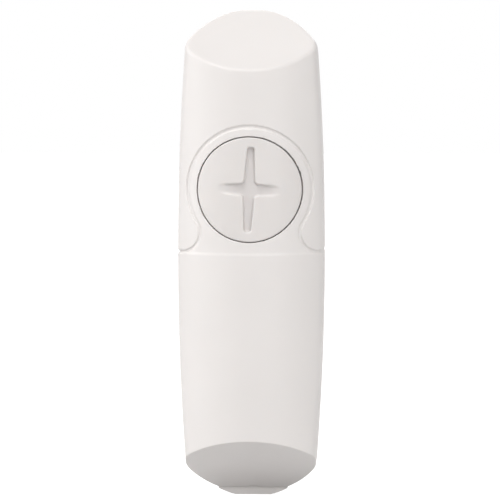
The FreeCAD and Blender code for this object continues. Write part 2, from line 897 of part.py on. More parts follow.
def hinge_ear(name, sign):
    inner = d.hinge_barrel_half + d.side_gap
    outer = inner + d.hinge_ear_width
    low, high = (inner, outer) if sign > 0 else (-outer, -inner)
    eye = rod(f"{name}_eye", "x", d.hinge_ear_radius, low, high, (hinge_y, hinge_z))
    strut = box(f"{name}_strut", (low, high), (hinge_y - d.hinge_ear_radius, hinge_y + d.hinge_ear_back),
                (hinge_clear_z - d.rim_wall, hinge_z))
    bore = rod(f"{name}_bore", "x", d.hinge_pin_radius + d.run_gap, low - 1, high + 1, (hinge_y, hinge_z))
    return cut(name, fuse(f"{name}_solid", eye, strut), bore)


def base_tray():
    inset = d.cover_wall + d.side_gap
    wide = d.body_width
    block = casing("tray_block", inset, d.floor_thickness, hinged=False)
    well = casing("tray_well", inset + d.rim_wall, d.floor_thickness, hinged=False)
    tray_zone = box("tray_zone", middle_of(0, wide), (-d.rim_height, as_size(0)), (-top - 1, hinge_clear_z))
    well_top = hinge_clear_z - d.rim_wall
    well_zone = box("well_zone", middle_of(0, wide), (front, floor_front), (-top - 1, well_top))
    inside = common("tray_inside", well, well_zone)
    tray = cut("tray_shell", common("tray_outside", block, tray_zone), inside)
    tongue_y = (-d.foot_tongue_depth, as_size(0))
    tongue_top = d.foot_tongue_reach - top + d.cover_wall
    tongue_zone = box("tongue_zone", middle_of(0, d.foot_tongue_half), tongue_y, (-top, tongue_top))
    foot_round = front_rod("foot_round", d.end_radius, *tongue_y, 0, d.end_radius - top - d.foot_flat)
    tongue = common("foot_tongue", tongue_zone, foot_round)
    guide_inside = guide_outside + d.guide_thickness
    window_half = d.guide_half + d.guide_side_gap
    window_y = (-d.rim_height - 1, -d.foot_tongue_depth)
    window = box("guide_window", middle_of(0, window_half), window_y, (-top - 1, guide_inside))
    finger_y = (-d.guide_height, floor_front + 1)
    finger = box("guide_finger", middle_of(0, d.guide_half), finger_y, (guide_outside, guide_inside))
    parts = [cut("tray_open", tray, window), tongue, finger]
    for name, sign in (("left_ear", -1), ("right_ear", 1)):
        parts.append(hinge_ear(name, sign))
    screw_hole = d.board_screw_radius + d.run_gap
    holes = []
    for number, (side, height, boss_front) in enumerate(board_screw_places, start=1):
        foot = floor_front + 1
        boss = front_rod(f"board_boss_{number}", d.board_boss_radius, boss_front, foot, side, height)
        parts.append(boss)
        point = board_front + d.board_screw_length + d.board_screw_point_gap
        holes.append(front_rod(f"boss_hole_{number}", screw_hole, boss_front - 1, point, side, height))
    for number, sign in enumerate((-1, 1), start=1):
        parts.append(front_rod(f"board_post_{number}", d.board_post_radius, board_back, floor_front + 1,
                               sign * d.board_post_side, d.board_post_height))
    for number, height in enumerate((d.wall_screw_top, -d.wall_screw_foot), start=1):
        sink = floor_front + d.wall_screw_sink
        fore = floor_front - 1
        holes.append(front_rod(f"wall_hole_{number}", d.wall_screw_hole, fore, as_size(1), 0, height))
        holes.append(front_rod(f"wall_sink_{number}", d.wall_screw_head, fore, sink, 0, height))
    nodes["base_tray"] = cut("base_tray", fuse("tray_solid", *parts), *holes)


# Circuit board and what stands on it


def circuit_board():
    body = new_body("board_blank")
    sketch = new_sketch(body, "board_outline", "XZ_Plane", -board_back)
    side, low, high, bend = d.board_half, -d.board_foot, d.board_top, d.board_corner
    corners = [
        (-side + bend, low),
        (side - bend, low, bend),
        (side, low + bend),
        (side, high - bend, bend),
        (side - bend, high),
        (-side + bend, high, bend),
        (-side, high - bend),
        (-side, low + bend, bend),
    ]
    outline(sketch, corners)
    feature(body, "Pad", "board_pad", sketch, Length=d.board_thickness)
    gap = d.keeper_slot_gap
    slot = box("keeper_slot", middle_of(as_size(0), d.keeper_half + gap), (board_front - 1, board_back + 1),
               (keeper_post_foot - gap, keeper_post_foot + d.keeper_metal + gap))
    hole = d.board_screw_radius + d.run_gap
    holes = [
        front_rod(f"board_hole_{number}", hole, board_front - 1, board_back + 1, side, height)
        for number, (side, height, boss_front) in enumerate(board_screw_places, start=1)
    ]
    nodes["circuit_board"] = cut("circuit_board", body, slot, *holes)
    screws = [
        screw(f"board_screw_{number}", board_front, -1, d.board_screw_radius, d.board_screw_length,
              d.board_screw_head_radius, d.board_screw_head, side, height)
        for number, (side, height, boss_front) in enumerate(board_screw_places, start=1)
    ]
    nodes["board_screws"] = group("board_screws", *screws)


def on_board(name, x, rise, z):
    # A block that stands on the board's front face.
    return box(name, x, (board_front - rise, board_front), z)


def battery():
    radius, edge = d.cell_radius, d.cell_edge_round
    foot, head = cell_foot, -d.cell_top
    corners = [
        (0, foot),
        (radius - edge, foot, edge),
        (radius, foot + edge),
        (radius, head - edge, edge),
        (radius - edge, head),
        (d.cell_nub_radius, head),
        (d.cell_nub_radius, head + d.cell_nub),
        (0, head + d.cell_nub),
    ]
    nodes["battery_cell"] = turned("battery_cell", "XZ_Plane", corners, 0, cell_y, 0)

    cradle_front = floor_front - d.cradle_height
    block_y = (cradle_front, floor_front)
    block = box("cradle_block", middle_of(0, d.cradle_half), block_y, (cradle_foot, cradle_top))
    trough_ends = (cradle_foot + d.cradle_end, cradle_top - d.cradle_end)
    trough = rod("cradle_trough", "z", d.cell_radius + d.cell_gap, *trough_ends, (0, cell_y))
    nodes["battery_cradle"] = cut("battery_cradle", block, trough)

    metal = d.contact_metal
    tip = floor_front - d.contact_height
    seat = floor_front - d.contact_foot_height
    nub = head + d.cell_nub
    tail = d.contact_tail - d.board_foot
    corners = [
        (seat, nub),
        (seat, nub + metal),
        (tip + metal, nub + metal),
        (tip + metal, tail - metal),
        (board_front, tail - metal),
        (board_front, tail),
        (tip, tail),
        (tip, nub),
    ]
    wide = 2 * d.contact_half
    nodes["positive_contact"] = padded("positive_contact", "YZ_Plane", corners, 0, wide, middle=True)

    plate = foot - d.contact_spring_reach
    outer = cradle_foot - d.cell_gap
    corners = [
        (seat, plate),
        (cell_y + d.contact_half * 0.7, plate),
        (cell_y + 0.4, foot - metal),
        (cell_y - 0.4, foot - metal),
        (cell_y - d.contact_half * 0.7, plate),
        (tip + metal, plate),
        (tip + metal, outer),
        (floor_front - 2 * d.lead_radius, outer),
        (floor_front - 2 * d.lead_radius, outer - metal),
        (tip, outer - metal),
        (tip, plate + metal),
        (cell_y - d.contact_half * 0.7, plate + metal),
        (cell_y - 0.4, foot),
        (cell_y + 0.4, foot),
        (cell_y + d.contact_half * 0.7, plate + metal),
        (seat, plate + metal),
    ]
    nodes["negative_contact"] = padded("negative_contact", "YZ_Plane", corners, 0, wide, middle=True)

    body = new_body("battery_lead")
    lead_y = floor_front - d.lead_lift
    lead_z = outer - metal / 2
    path = new_sketch(body, "lead_path", "XZ_Plane", -lead_y)
    end_z = -d.board_foot + d.lead_tail
    start = Vector(d.contact_half.number, lead_z.number, 0)
    corner = Vector(lead_side.number, lead_z.number, 0)
    finish = Vector(lead_side.number, end_z.number, 0)
    bend = d.lead_bend.number
    turn_centre = corner + Vector(-bend, bend, 0)
    path.addGeometry(Part.LineSegment(start, corner - Vector(bend, 0, 0)), False)
    round_off = Part.Circle(turn_centre, Vector(0, 0, 1), bend)
    path.addGeometry(Part.ArcOfCircle(round_off, -math.pi / 2, 0), False)
    path.addGeometry(Part.LineSegment(corner + Vector(0, bend, 0), finish), False)
    path.addConstraint(Sketcher.Constraint("Coincident", 0, 2, 1, 1))
    path.addConstraint(Sketcher.Constraint("Coincident", 1, 2, 2, 1))
    fix_point(path, 0, 1, d.contact_half, lead_z)
    fix_point(path, 0, 2, lead_side - d.lead_bend, lead_z)
    fix_radius(path, 1, d.lead_bend)
    fix_point(path, 2, 1, lead_side, lead_z + d.lead_bend)
    fix_point(path, 2, 2, lead_side, end_z)
    section = new_sketch(body, "lead_section", "YZ_Plane", d.contact_half)
    circle(section, lead_y, lead_z, d.lead_radius)
    pipe = body.newObject("PartDesign::AdditivePipe", "lead_pipe")
    pipe.Profile = section
    pipe.Spine = (path, ["Edge1", "Edge2", "Edge3"])
    nodes["battery_lead"] = body


def sensing_element():
    side = d.sensor_side * -1
    foot = d.sensor_foot_height
    beam_back = board_front - d.beam_rise
    beam_front = beam_back - d.beam_thickness
    tip = foot + d.beam_length
    across = middle_of(side, d.beam_half)
    nodes["piezo_beam"] = box("piezo_beam", across, (beam_front, beam_back), (foot, tip))
    clamp = on_board("clamp_block", middle_of(side, d.sensor_clamp_half), d.sensor_clamp_rise,
                     (foot - d.beam_thickness, foot + d.sensor_clamp_length))
    slot = box("clamp_slot", across, (beam_front, beam_back), (foot, tip))
    nodes["sensor_clamp"] = cut("sensor_clamp", clamp, slot)
    weight_ends = (beam_front - d.weight_length, beam_front)
    weight = front_rod("seismic_weight", d.weight_radius, *weight_ends, side, tip - d.weight_radius)
    nodes["seismic_weight"] = weight


def radio():
    x = (d.radio_left, d.radio_right)
    z = (d.radio_foot_height, d.radio_foot_height + d.radio_length)
    nodes["radio_board"] = on_board("radio_board", x, d.radio_board_thickness, z)
    seat = board_front - d.radio_board_thickness
    margin, metal = d.shield_margin, d.shield_metal

    def can(name, inset, low, high):
        return box(name, (x[0] + inset, x[1] - inset), (low, high), (z[0] + inset, z[1] - inset))

    outside = can("shield_outside", margin, seat - d.shield_rise, seat)
    inside = can("shield_inside", margin + metal, seat - d.shield_rise + metal, seat + 1)
    nodes["shield_can"] = cut("shield_can", outside, inside)

    body = new_body("antenna_wire")
    path = new_sketch(body, "antenna_path", "YZ_Plane", d.antenna_side)
    low, high = d.antenna_foot_height, d.antenna_top_height
    tip, bend = board_front - d.antenna_rise, d.antenna_bend
    places = [
        (board_front, low),
        (tip + bend, low),
        (tip, low + bend),
        (tip, high - bend),
        (tip + bend, high),
        (board_front, high),
    ]
    points = [Vector(as_size(a).number, as_size(b).number, 0) for a, b in places]
    low_centre = Vector((tip + bend).number, (low + bend).number, 0)
    high_centre = Vector((tip + bend).number, (high - bend).number, 0)
    path.addGeometry(Part.LineSegment(points[0], points[1]), False)
    low_round = Part.Circle(low_centre, Vector(0, 0, 1), bend.number)
    high_round = Part.Circle(high_centre, Vector(0, 0, 1), bend.number)
    path.addGeometry(Part.ArcOfCircle(low_round, math.pi, 1.5 * math.pi), False)
    path.addGeometry(Part.LineSegment(points[2], points[3]), False)
    path.addGeometry(Part.ArcOfCircle(high_round, math.pi / 2, math.pi), False)
    path.addGeometry(Part.LineSegment(points[4], points[5]), False)
    for first, second in (((0, 2), (1, 2)), ((1, 1), (2, 1)), ((2, 2), (3, 2)), ((3, 1), (4, 1))):
        path.addConstraint(Sketcher.Constraint("Coincident", *first, *second))
    for edge, number in ((0, 0), (2, 2), (4, 4)):
        fix_point(path, edge, 1, *places[number])
        fix_point(path, edge, 2, *places[number + 1])
    fix_radius(path, 1, bend)
    fix_radius(path, 3, bend)
    section = new_sketch(body, "antenna_section", "XZ_Plane", -board_front)
    circle(section, d.antenna_side, low, d.antenna_wire_radius)
    pipe = body.newObject("PartDesign::AdditivePipe", "antenna_pipe")
    pipe.Profile = section
    pipe.Spine = (path, [f"Edge{number}" for number in range(1, 6)])
    nodes["antenna_wire"] = body


def board_parts():
    nodes["controller_chip"] = on_board("controller_chip", middle_of(d.chip_side, d.chip_half), d.chip_rise,
                                        middle_of(d.chip_height, d.chip_half))
    nodes["crystal_can"] = on_board("crystal_can", middle_of(d.crystal_side, d.crystal_half), d.crystal_rise,
                                    middle_of(d.crystal_height, d.crystal_length / 2))
    ends = (board_front - d.reservoir_rise, board_front)
    place = (d.reservoir_side, d.reservoir_height)
    nodes["reservoir_capacitor"] = front_rod("reservoir_capacitor", d.reservoir_radius, *ends, *place)
    nodes["status_lamp"] = on_board("status_lamp", middle_of(d.pipe_side, d.lamp_half), d.lamp_rise,
                                    middle_of(d.pipe_height, d.lamp_half))
    small = []
    for row, height in enumerate((d.small_part_low_height, d.small_part_height), start=1):
        for place in range(-2, 3):
            across = middle_of(place * d.small_part_pitch, d.small_part_width / 2)
            along = middle_of(height, d.small_part_length / 2)
            small.append(on_board(f"small_part_{row}_{place + 3}", across, d.small_part_rise, along))
    nodes["chip_parts"] = group("chip_parts", *small)


def push_switch(name, stem_name, side, height, stem_top, travel):
    # A square switch with a dome in its well and a round stem that presses it.
    case_front = board_front - d.switch_rise
    well_floor = case_front + d.stem_seat
    half = d.switch_half
    case = on_board(f"{name}_case", middle_of(side, half), d.switch_rise, middle_of(height, half))
    well = front_rod(f"{name}_well", d.stem_radius + d.stem_gap, case_front - 1, well_floor, side, height)
    nodes[f"{name}_body"] = cut(f"{name}_body", case, well)
    dome_front = well_floor - d.dome_rise
    metal = d.dome_metal
    dome_corners = [
        (0, dome_front),
        (0, dome_front + metal),
        (d.dome_radius / 2, dome_front + metal),
        (d.dome_radius - metal, well_floor),
        (d.dome_radius, well_floor),
        (d.dome_radius / 2, dome_front),
    ]
    nodes[f"{name}_dome"] = turned(f"{name}_dome", "XY_Plane", dome_corners, side, 0, height)
    stem_back = dome_front - d.stem_stop_gap - travel
    edge = d.stem_round
    stem_corners = [
        (0, -stem_top),
        (d.stem_radius - edge, -stem_top, edge),
        (d.stem_radius, edge - stem_top),
        (d.stem_radius, stem_back),
        (0, stem_back),
    ]
    nodes[stem_name] = turned(stem_name, "XY_Plane", stem_corners, side, 0, height)


def trimmer():
    side, height = d.trimmer_side, d.trimmer_height
    case_front = board_front - d.trimmer_rise
    well_floor = case_front + d.rotor_seat
    half = d.trimmer_half
    case = on_board("trimmer_case", middle_of(side, half), d.trimmer_rise, middle_of(height, half))
    well = front_rod("trimmer_well", d.rotor_radius + d.run_gap, case_front - 1, well_floor, side, height)
    nodes["trimmer_body"] = cut("trimmer_body", case, well)
    rotor_front = case_front - d.rotor_proud
    blank = front_rod("rotor_blank", d.rotor_radius, rotor_front, well_floor - d.face_gap, side, height)
    slot_y = (rotor_front - 1, rotor_front + d.rotor_slot_depth)
    slot_z = middle_of(height, d.rotor_slot_width / 2)
    slot = box("rotor_slot", middle_of(side, d.rotor_radius + 1), slot_y, slot_z)
    nodes["trimmer_rotor"] = cut("trimmer_rotor", blank, slot)


def jumper():
    side, height = d.jumper_side, d.jumper_height
    pins = []
    sockets = []
    cap_back = board_front - d.header_rise - d.jumper_cap_lift
    for number, sign in enumerate((-1, 1), start=1):
        middle = side + sign * d.pin_pitch / 2
        half = d.pin_half
        y = (board_front - d.pin_rise, board_front)
        pins.append(box(f"jumper_pin_{number}", middle_of(middle, half), y, middle_of(height, half)))
        wide = d.pin_half + d.jumper_cap_wall
        y = (board_front - d.pin_rise - d.jumper_cap_wall, cap_back + 1)
        sockets.append(box(f"cap_socket_{number}", middle_of(middle, wide), y, middle_of(height, wide)))
    across = middle_of(side, d.pin_pitch)
    base = on_board("header_block", across, d.header_rise, middle_of(height, d.header_half))
    nodes["jumper_header"] = cut("jumper_header", base, *pins)
    nodes["jumper_pins"] = group("jumper_pins", *pins)
    across = middle_of(side, d.pin_pitch - d.jumper_cap_wall)
    cap_y = (cap_back - d.jumper_cap_rise, cap_back)
    cap = box("cap_block", across, cap_y, middle_of(height, d.header_half))
    nodes["jumper_cap"] = cut("jumper_cap", cap, *sockets)


cover_block = front_cover()
light_pipe()
lock(cover_block)
lock_keeper()
base_tray()
circuit_board()
battery()
sensing_element()
radio()
board_parts()
push_switch("tamper", "tamper_plunger", d.tamper_side, d.tamper_height, d.tamper_stem_top, d.tamper_travel)
push_switch("learn", "learn_cap", d.learn_side, d.learn_height, d.learn_stem_top, d.learn_travel)
trimmer()
jumper()
doc.recompute()

for item in doc.Objects:
    if "Invalid" in item.State or "Error" in item.State:
        raise RuntimeError(f"{item.Name} failed: {item.State}")
for name, item in nodes.items():
    item.Label = name
    if item.Shape.isNull() or not item.Shape.isValid() or not item.Shape.Solids:
        raise RuntimeError(f"{name} has no valid solid")

os.makedirs("parts", exist_ok=True)
for name, item in nodes.items():
    item.Shape.exportStep(f"parts/{name}.step")
print(len(nodes), "pieces written")
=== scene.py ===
import itertools
import math

import bmesh
import bpy
import numpy as np
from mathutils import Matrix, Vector


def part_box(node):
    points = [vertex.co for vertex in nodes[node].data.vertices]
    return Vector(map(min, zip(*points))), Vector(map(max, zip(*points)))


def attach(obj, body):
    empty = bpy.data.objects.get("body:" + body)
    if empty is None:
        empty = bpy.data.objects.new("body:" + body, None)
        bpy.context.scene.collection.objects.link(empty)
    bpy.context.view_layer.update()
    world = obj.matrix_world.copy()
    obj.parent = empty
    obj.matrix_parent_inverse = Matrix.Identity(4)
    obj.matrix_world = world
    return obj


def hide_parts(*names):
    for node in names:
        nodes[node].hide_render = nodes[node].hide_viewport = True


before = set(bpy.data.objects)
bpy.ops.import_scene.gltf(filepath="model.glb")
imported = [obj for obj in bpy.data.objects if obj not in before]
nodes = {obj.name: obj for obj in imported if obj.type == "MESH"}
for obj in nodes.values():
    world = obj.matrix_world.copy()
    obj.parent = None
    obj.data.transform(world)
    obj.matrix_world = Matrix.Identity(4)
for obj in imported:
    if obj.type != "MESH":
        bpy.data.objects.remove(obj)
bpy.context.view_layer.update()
mm = 0.001
print("frame loaded with", len(nodes), "nodes")


# Camera, floor and lamps

cameraSpot = {
    "azimuth": 2.5,        # degrees to the right of the front
    "elevation": 3.6,
    "distance": 0.6,
    "aim": (-0.0004, -0.010, 0.0012),
    "frameHeight": 0.1140,  # what the picture takes in at the aim, top to bottom
}


def bearing(turn, lift):
    # The way out to something that stands turn degrees to the right of the front, and lift up
    turn, lift = math.radians(turn), math.radians(lift)
    return Vector((math.sin(turn) * math.cos(lift), -math.cos(turn) * math.cos(lift), math.sin(lift)))


def placeCamera(spot):
    away = bearing(spot["azimuth"], spot["elevation"])
    aim = Vector(spot["aim"])
    camera = bpy.data.objects.new("camera", bpy.data.cameras.new("camera"))
    bpy.context.scene.collection.objects.link(camera)
    camera.location = aim + away * spot["distance"]
    camera.rotation_euler = (-away).to_track_quat("-Z", "Y").to_euler()
    camera.data.angle = 2 * math.atan(spot["frameHeight"] / 2 / spot["distance"])
    camera.data.clip_start = 0.01
    bpy.context.scene.camera = camera


studio = {
    "floorSize": 6.0,
    "floorGap": 0.0001,     # below the foot
    "floorColour": (0.58, 0.58, 0.58, 1),
    "floorGlow": 0.97,      # how much of the floor's white the camera gets whatever the shadow
    "worldGrey": 0.20,
    "lampReach": 1.6,
    # name: degrees round to the right, degrees up, size and power
    "lamps": {
        "leftLamp": (-86, 15, 0.9, 11.9),
        "topLamp": (-20, 57, 0.9, 13.7),
        "frontLamp": (26, 14, 0.9, 9.1),
        "rightLamp": (85, 12, 0.7, 2.3),
        "backLamp": (180, 30, 0.9, 7.0),
    },
}


def seenByEye(tree):
    # 1 where a ray comes straight from the camera or by way of a mirror or glass, else 0
    path = tree.nodes.new("ShaderNodeLightPath")
    first = tree.nodes.new("ShaderNodeMath")
    first.operation = "MAXIMUM"
    second = tree.nodes.new("ShaderNodeMath")
    second.operation = "MAXIMUM"
    tree.links.new(path.outputs["Is Camera Ray"], first.inputs[0])
    tree.links.new(path.outputs["Is Glossy Ray"], first.inputs[1])
    tree.links.new(first.outputs[0], second.inputs[0])
    tree.links.new(path.outputs["Is Transmission Ray"], second.inputs[1])
    return second.outputs[0]


def makeStudio(plan):
    scene = bpy.context.scene
    scene.view_settings.view_transform = "Standard"
    world = bpy.data.worlds.new("studioWorld")
    scene.world = world
    world.use_nodes = True
    tree = world.node_tree
    tree.nodes.clear()
    dim = tree.nodes.new("ShaderNodeBackground")
    dim.inputs["Color"].default_value = (plan["worldGrey"],) * 3 + (1,)
    white = tree.nodes.new("ShaderNodeBackground")
    white.inputs["Color"].default_value = (1, 1, 1, 1)
    mix = tree.nodes.new("ShaderNodeMixShader")
    out = tree.nodes.new("ShaderNodeOutputWorld")
    tree.links.new(seenByEye(tree), mix.inputs[0])
    tree.links.new(dim.outputs[0], mix.inputs[1])
    tree.links.new(white.outputs[0], mix.inputs[2])
    tree.links.new(mix.outputs[0], out.inputs["Surface"])

    half = plan["floorSize"] / 2
    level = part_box("base_tray")[0].z - plan["floorGap"]
    mesh = bpy.data.meshes.new("floor")
    corners = [(-half, -half, level), (half, -half, level), (half, half, level), (-half, half, level)]
    mesh.from_pydata(corners, [], [(0, 1, 2, 3)])
    floor = bpy.data.objects.new("floor", mesh)
    scene.collection.objects.link(floor)
    paint = bpy.data.materials.new("floorPaint")
    paint.use_nodes = True
    tree = paint.node_tree
    tree.nodes.clear()
    matt = tree.nodes.new("ShaderNodeBsdfDiffuse")
    matt.inputs["Color"].default_value = plan["floorColour"]
    glow = tree.nodes.new("ShaderNodeEmission")
    glow.inputs["Strength"].default_value = plan["floorGlow"]
    none = tree.nodes.new("ShaderNodeEmission")
    none.inputs["Strength"].default_value = 0
    pick = tree.nodes.new("ShaderNodeMixShader")
    add = tree.nodes.new("ShaderNodeAddShader")
    out = tree.nodes.new("ShaderNodeOutputMaterial")
    tree.links.new(seenByEye(tree), pick.inputs[0])
    tree.links.new(none.outputs[0], pick.inputs[1])
    tree.links.new(glow.outputs[0], pick.inputs[2])
    tree.links.new(matt.outputs[0], add.inputs[0])
    tree.links.new(pick.outputs[0], add.inputs[1])
    tree.links.new(add.outputs[0], out.inputs["Surface"])
    mesh.materials.append(paint)

    for name, (turn, lift, size, power) in plan["lamps"].items():
        spot = plan["lampReach"] * bearing(turn, lift)
        lamp = bpy.data.objects.new(name, bpy.data.lights.new(name, "AREA"))
        lamp.data.size = size
        lamp.data.energy = power
        lamp.location = spot
        lamp.rotation_euler = (-spot).to_track_quat("-Z", "Y").to_euler()
        scene.collection.objects.link(lamp)


placeCamera(cameraSpot)
makeStudio(studio)
print("camera, floor and lamps placed")


# Materials

def newPaint(name):
    paint = bpy.data.materials.new(name)
    paint.use_nodes = True
    return paint, paint.node_tree, paint.node_tree.nodes["Principled BSDF"]


def noise(tree, scale, detail=3.0):
    place = tree.nodes.new("ShaderNodeTexCoord")
    grain = tree.nodes.new("ShaderNodeTexNoise")
    grain.inputs["Scale"].default_value = scale
    grain.inputs["Detail"].default_value = detail
    tree.links.new(place.outputs["Object"], grain.inputs["Vector"])
    return grain.outputs["Fac"]


def ramp(tree, source, stops):
    band = tree.nodes.new("ShaderNodeValToRGB")
    points = band.color_ramp.elements
    while len(points) < len(stops):
        points.new(0.5)
    for point, (place, colour) in zip(points, stops):
        point.position = place
        point.color = (*colour, 1)
    tree.links.new(source, band.inputs["Fac"])
    return band.outputs["Color"]


def colourBy(tree, shader, colour):
    tree.links.new(colour, shader.inputs["Base Color"])


def shineBy(tree, shader, source, low, high):
    # Rougher where the source is stronger
    scale = tree.nodes.new("ShaderNodeMapRange")
    scale.inputs["From Min"].default_value = 0.3
    scale.inputs["From Max"].default_value = 0.7
    scale.inputs["To Min"].default_value = low
    scale.inputs["To Max"].default_value = high
    tree.links.new(source, scale.inputs["Value"])
    tree.links.new(scale.outputs["Result"], shader.inputs["Roughness"])


def roughen(tree, shader, source, height):
    bump = tree.nodes.new("ShaderNodeBump")
    bump.inputs["Strength"].default_value = 1.0
    bump.inputs["Distance"].default_value = height
    tree.links.new(source, bump.inputs["Height"])
    tree.links.new(bump.outputs["Normal"], shader.inputs["Normal"])


def mouldedPlastic(name, colour, rough=0.38, cloud=0.02, grain=0.000004, subsurface=0.0):
    # Fine moulded grain, faint clouding in the colour and a slightly uneven shine
    paint, tree, shader = newPaint(name)
    dull = tuple(part * (1 - cloud) for part in colour)
    shader.inputs["IOR"].default_value = 1.49
    if subsurface:
        shader.inputs["Subsurface Weight"].default_value = subsurface
        shader.inputs["Subsurface Radius"].default_value = (1.0, 0.85, 0.75)
        shader.inputs["Subsurface Scale"].default_value = 0.0015
    colourBy(tree, shader, ramp(tree, noise(tree, 70), [(0.35, dull), (0.65, colour)]))
    shineBy(tree, shader, noise(tree, 240), rough - 0.04, rough + 0.04)
    roughen(tree, shader, noise(tree, 3200, 2.0), grain)
    return paint


def metal(name, colour, rough=0.28, stretch=(1, 1, 1), grain=0.000003):
    # Rolled or plated metal. stretch draws the grain out along the axis with the smallest number.
    paint, tree, shader = newPaint(name)
    shader.inputs["Metallic"].default_value = 1.0
    place = tree.nodes.new("ShaderNodeTexCoord")
    lay = tree.nodes.new("ShaderNodeMapping")
    lay.inputs["Scale"].default_value = stretch
    drawn = tree.nodes.new("ShaderNodeTexNoise")
    drawn.inputs["Scale"].default_value = 1500
    tree.links.new(place.outputs["Object"], lay.inputs["Vector"])
    tree.links.new(lay.outputs["Vector"], drawn.inputs["Vector"])
    dull = tuple(part * 0.86 for part in colour)
    colourBy(tree, shader, ramp(tree, noise(tree, 160), [(0.3, dull), (0.7, colour)]))
    shineBy(tree, shader, drawn.outputs["Fac"], rough - 0.07, rough + 0.09)
    roughen(tree, shader, drawn.outputs["Fac"], grain)
    return paint


def placeAlong(tree, axis):
    # The place along one of the object's own axes, in metres
    place = tree.nodes.new("ShaderNodeTexCoord")
    split = tree.nodes.new("ShaderNodeSeparateXYZ")
    tree.links.new(place.outputs["Object"], split.inputs[0])
    return split.outputs[axis]


def stepAt(tree, source, edge, soft=0.00002):
    # 0 below the edge and 1 above it
    scale = tree.nodes.new("ShaderNodeMapRange")
    scale.inputs["From Min"].default_value = edge - soft
    scale.inputs["From Max"].default_value = edge + soft
    tree.links.new(source, scale.inputs["Value"])
    return scale.outputs["Result"]


def sums(tree, kind, one, two):
    both = tree.nodes.new("ShaderNodeMath")
    both.operation = kind
    for socket, value in zip(both.inputs, (one, two)):
        if isinstance(value, (int, float)):
            socket.default_value = value
        else:
            tree.links.new(value, socket)
    return both.outputs[0]


def mixed(tree, share, one, two):
    blend = tree.nodes.new("ShaderNodeMix")
    blend.data_type = "RGBA"
    tree.links.new(share, blend.inputs["Factor"])
    for socket, colour in (("A", one), ("B", two)):
        target = [i for i in blend.inputs if i.name == socket and i.type == "RGBA"][0]
        if isinstance(colour, tuple):
            target.default_value = (*colour, 1)
        else:
            tree.links.new(colour, target)
    return [o for o in blend.outputs if o.type == "RGBA"][0]


def discPaint(name):
    # As the cover's, a little more see-through, with painted shade in the slot: the deeper the slot is cut
    # in, the greyer the colour
    paint = mouldedPlastic(name, (0.755, 0.72, 0.70), 0.47, 0.03, subsurface=0.25)
    tree = paint.node_tree
    shader = tree.nodes["Principled BSDF"]
    plain = shader.inputs["Base Color"].links[0].from_socket
    # The sunk attribute mixes in the grey below, which is painted shade for the slot's recess
    sunk = tree.nodes.new("ShaderNodeAttribute")
    sunk.attribute_name = "sunk"
    colourBy(tree, shader, mixed(tree, sunk.outputs["Fac"], plain, (0.685, 0.65, 0.635)))
    return paint


def clearPlastic(name):
    paint, tree, shader = newPaint(name)
    shader.inputs["Transmission Weight"].default_value = 0.92
    shader.inputs["IOR"].default_value = 1.49
    tint = ramp(tree, noise(tree, 300), [(0.3, (0.88, 0.92, 0.94)), (0.7, (0.96, 0.97, 0.98))])
    colourBy(tree, shader, tint)
    shineBy(tree, shader, noise(tree, 900), 0.03, 0.10)
    return paint


def boardPaint(name):
    # Green resist over a woven laminate, with the bare laminate at the cut edges
    paint, tree, shader = newPaint(name)
    shader.inputs["IOR"].default_value = 1.52
    weave = []
    for axis in ("X", "Z"):
        thread = tree.nodes.new("ShaderNodeTexWave")
        thread.bands_direction = axis
        thread.inputs["Scale"].default_value = 620
        thread.inputs["Distortion"].default_value = 0.6
        place = tree.nodes.new("ShaderNodeTexCoord")
        tree.links.new(place.outputs["Object"], thread.inputs["Vector"])
        weave.append(thread.outputs["Fac"])
    cloth = sums(tree, "MULTIPLY", weave[0], weave[1])
    cloud = sums(tree, "MULTIPLY_ADD", cloth, 0.25)
    tree.links.new(noise(tree, 500), cloud.node.inputs[2])
    resist = ramp(tree, cloud, [(0.3, (0.010, 0.105, 0.042)), (0.85, (0.022, 0.155, 0.066))])
    face = tree.nodes.new("ShaderNodeTexCoord")
    split = tree.nodes.new("ShaderNodeSeparateXYZ")
    tree.links.new(face.outputs["Normal"], split.inputs[0])
    flat = stepAt(tree, sums(tree, "ABSOLUTE", split.outputs[1], 0), 0.7, 0.1)
    colourBy(tree, shader, mixed(tree, flat, (0.40, 0.36, 0.17), resist))
    shineBy(tree, shader, noise(tree, 1200), 0.26, 0.38)
    roughen(tree, shader, cloth, 0.000006)
    return paint


def sleevePaint(name):
    # Printed film: silver grey, with a dark band at the positive end
    paint, tree, shader = newPaint(name)
    shader.inputs["Metallic"].default_value = 0.2
    silver = ramp(tree, noise(tree, 260), [(0.3, (0.49, 0.50, 0.52)), (0.7, (0.52, 0.53, 0.55))])
    bandFoot = -0.0158     # metres
    band = stepAt(tree, placeAlong(tree, 2), bandFoot)
    colourBy(tree, shader, mixed(tree, band, silver, (0.035, 0.037, 0.045)))
    shineBy(tree, shader, noise(tree, 2400), 0.33, 0.40)
    roughen(tree, shader, noise(tree, 3000), 0.000002)
    return paint


def canPaint(name):
    # Bare aluminium, with the black mark over the negative side of its end
    paint = metal(name, (0.64, 0.65, 0.67), 0.26, grain=0.000002)
    tree = paint.node_tree
    shader = tree.nodes["Principled BSDF"]
    plain = shader.inputs["Base Color"].links[0].from_socket
    markSide, canEnd = 0.0066, -0.01185    # metres
    left = sums(tree, "SUBTRACT", 1.0, stepAt(tree, placeAlong(tree, 0), markSide))
    end = sums(tree, "SUBTRACT", 1.0, stepAt(tree, placeAlong(tree, 1), canEnd))
    mark = sums(tree, "MULTIPLY", left, end)
    colourBy(tree, shader, mixed(tree, mark, plain, (0.02, 0.02, 0.022)))
    tree.links.new(sums(tree, "SUBTRACT", 1.0, mark), shader.inputs["Metallic"])
    return paint


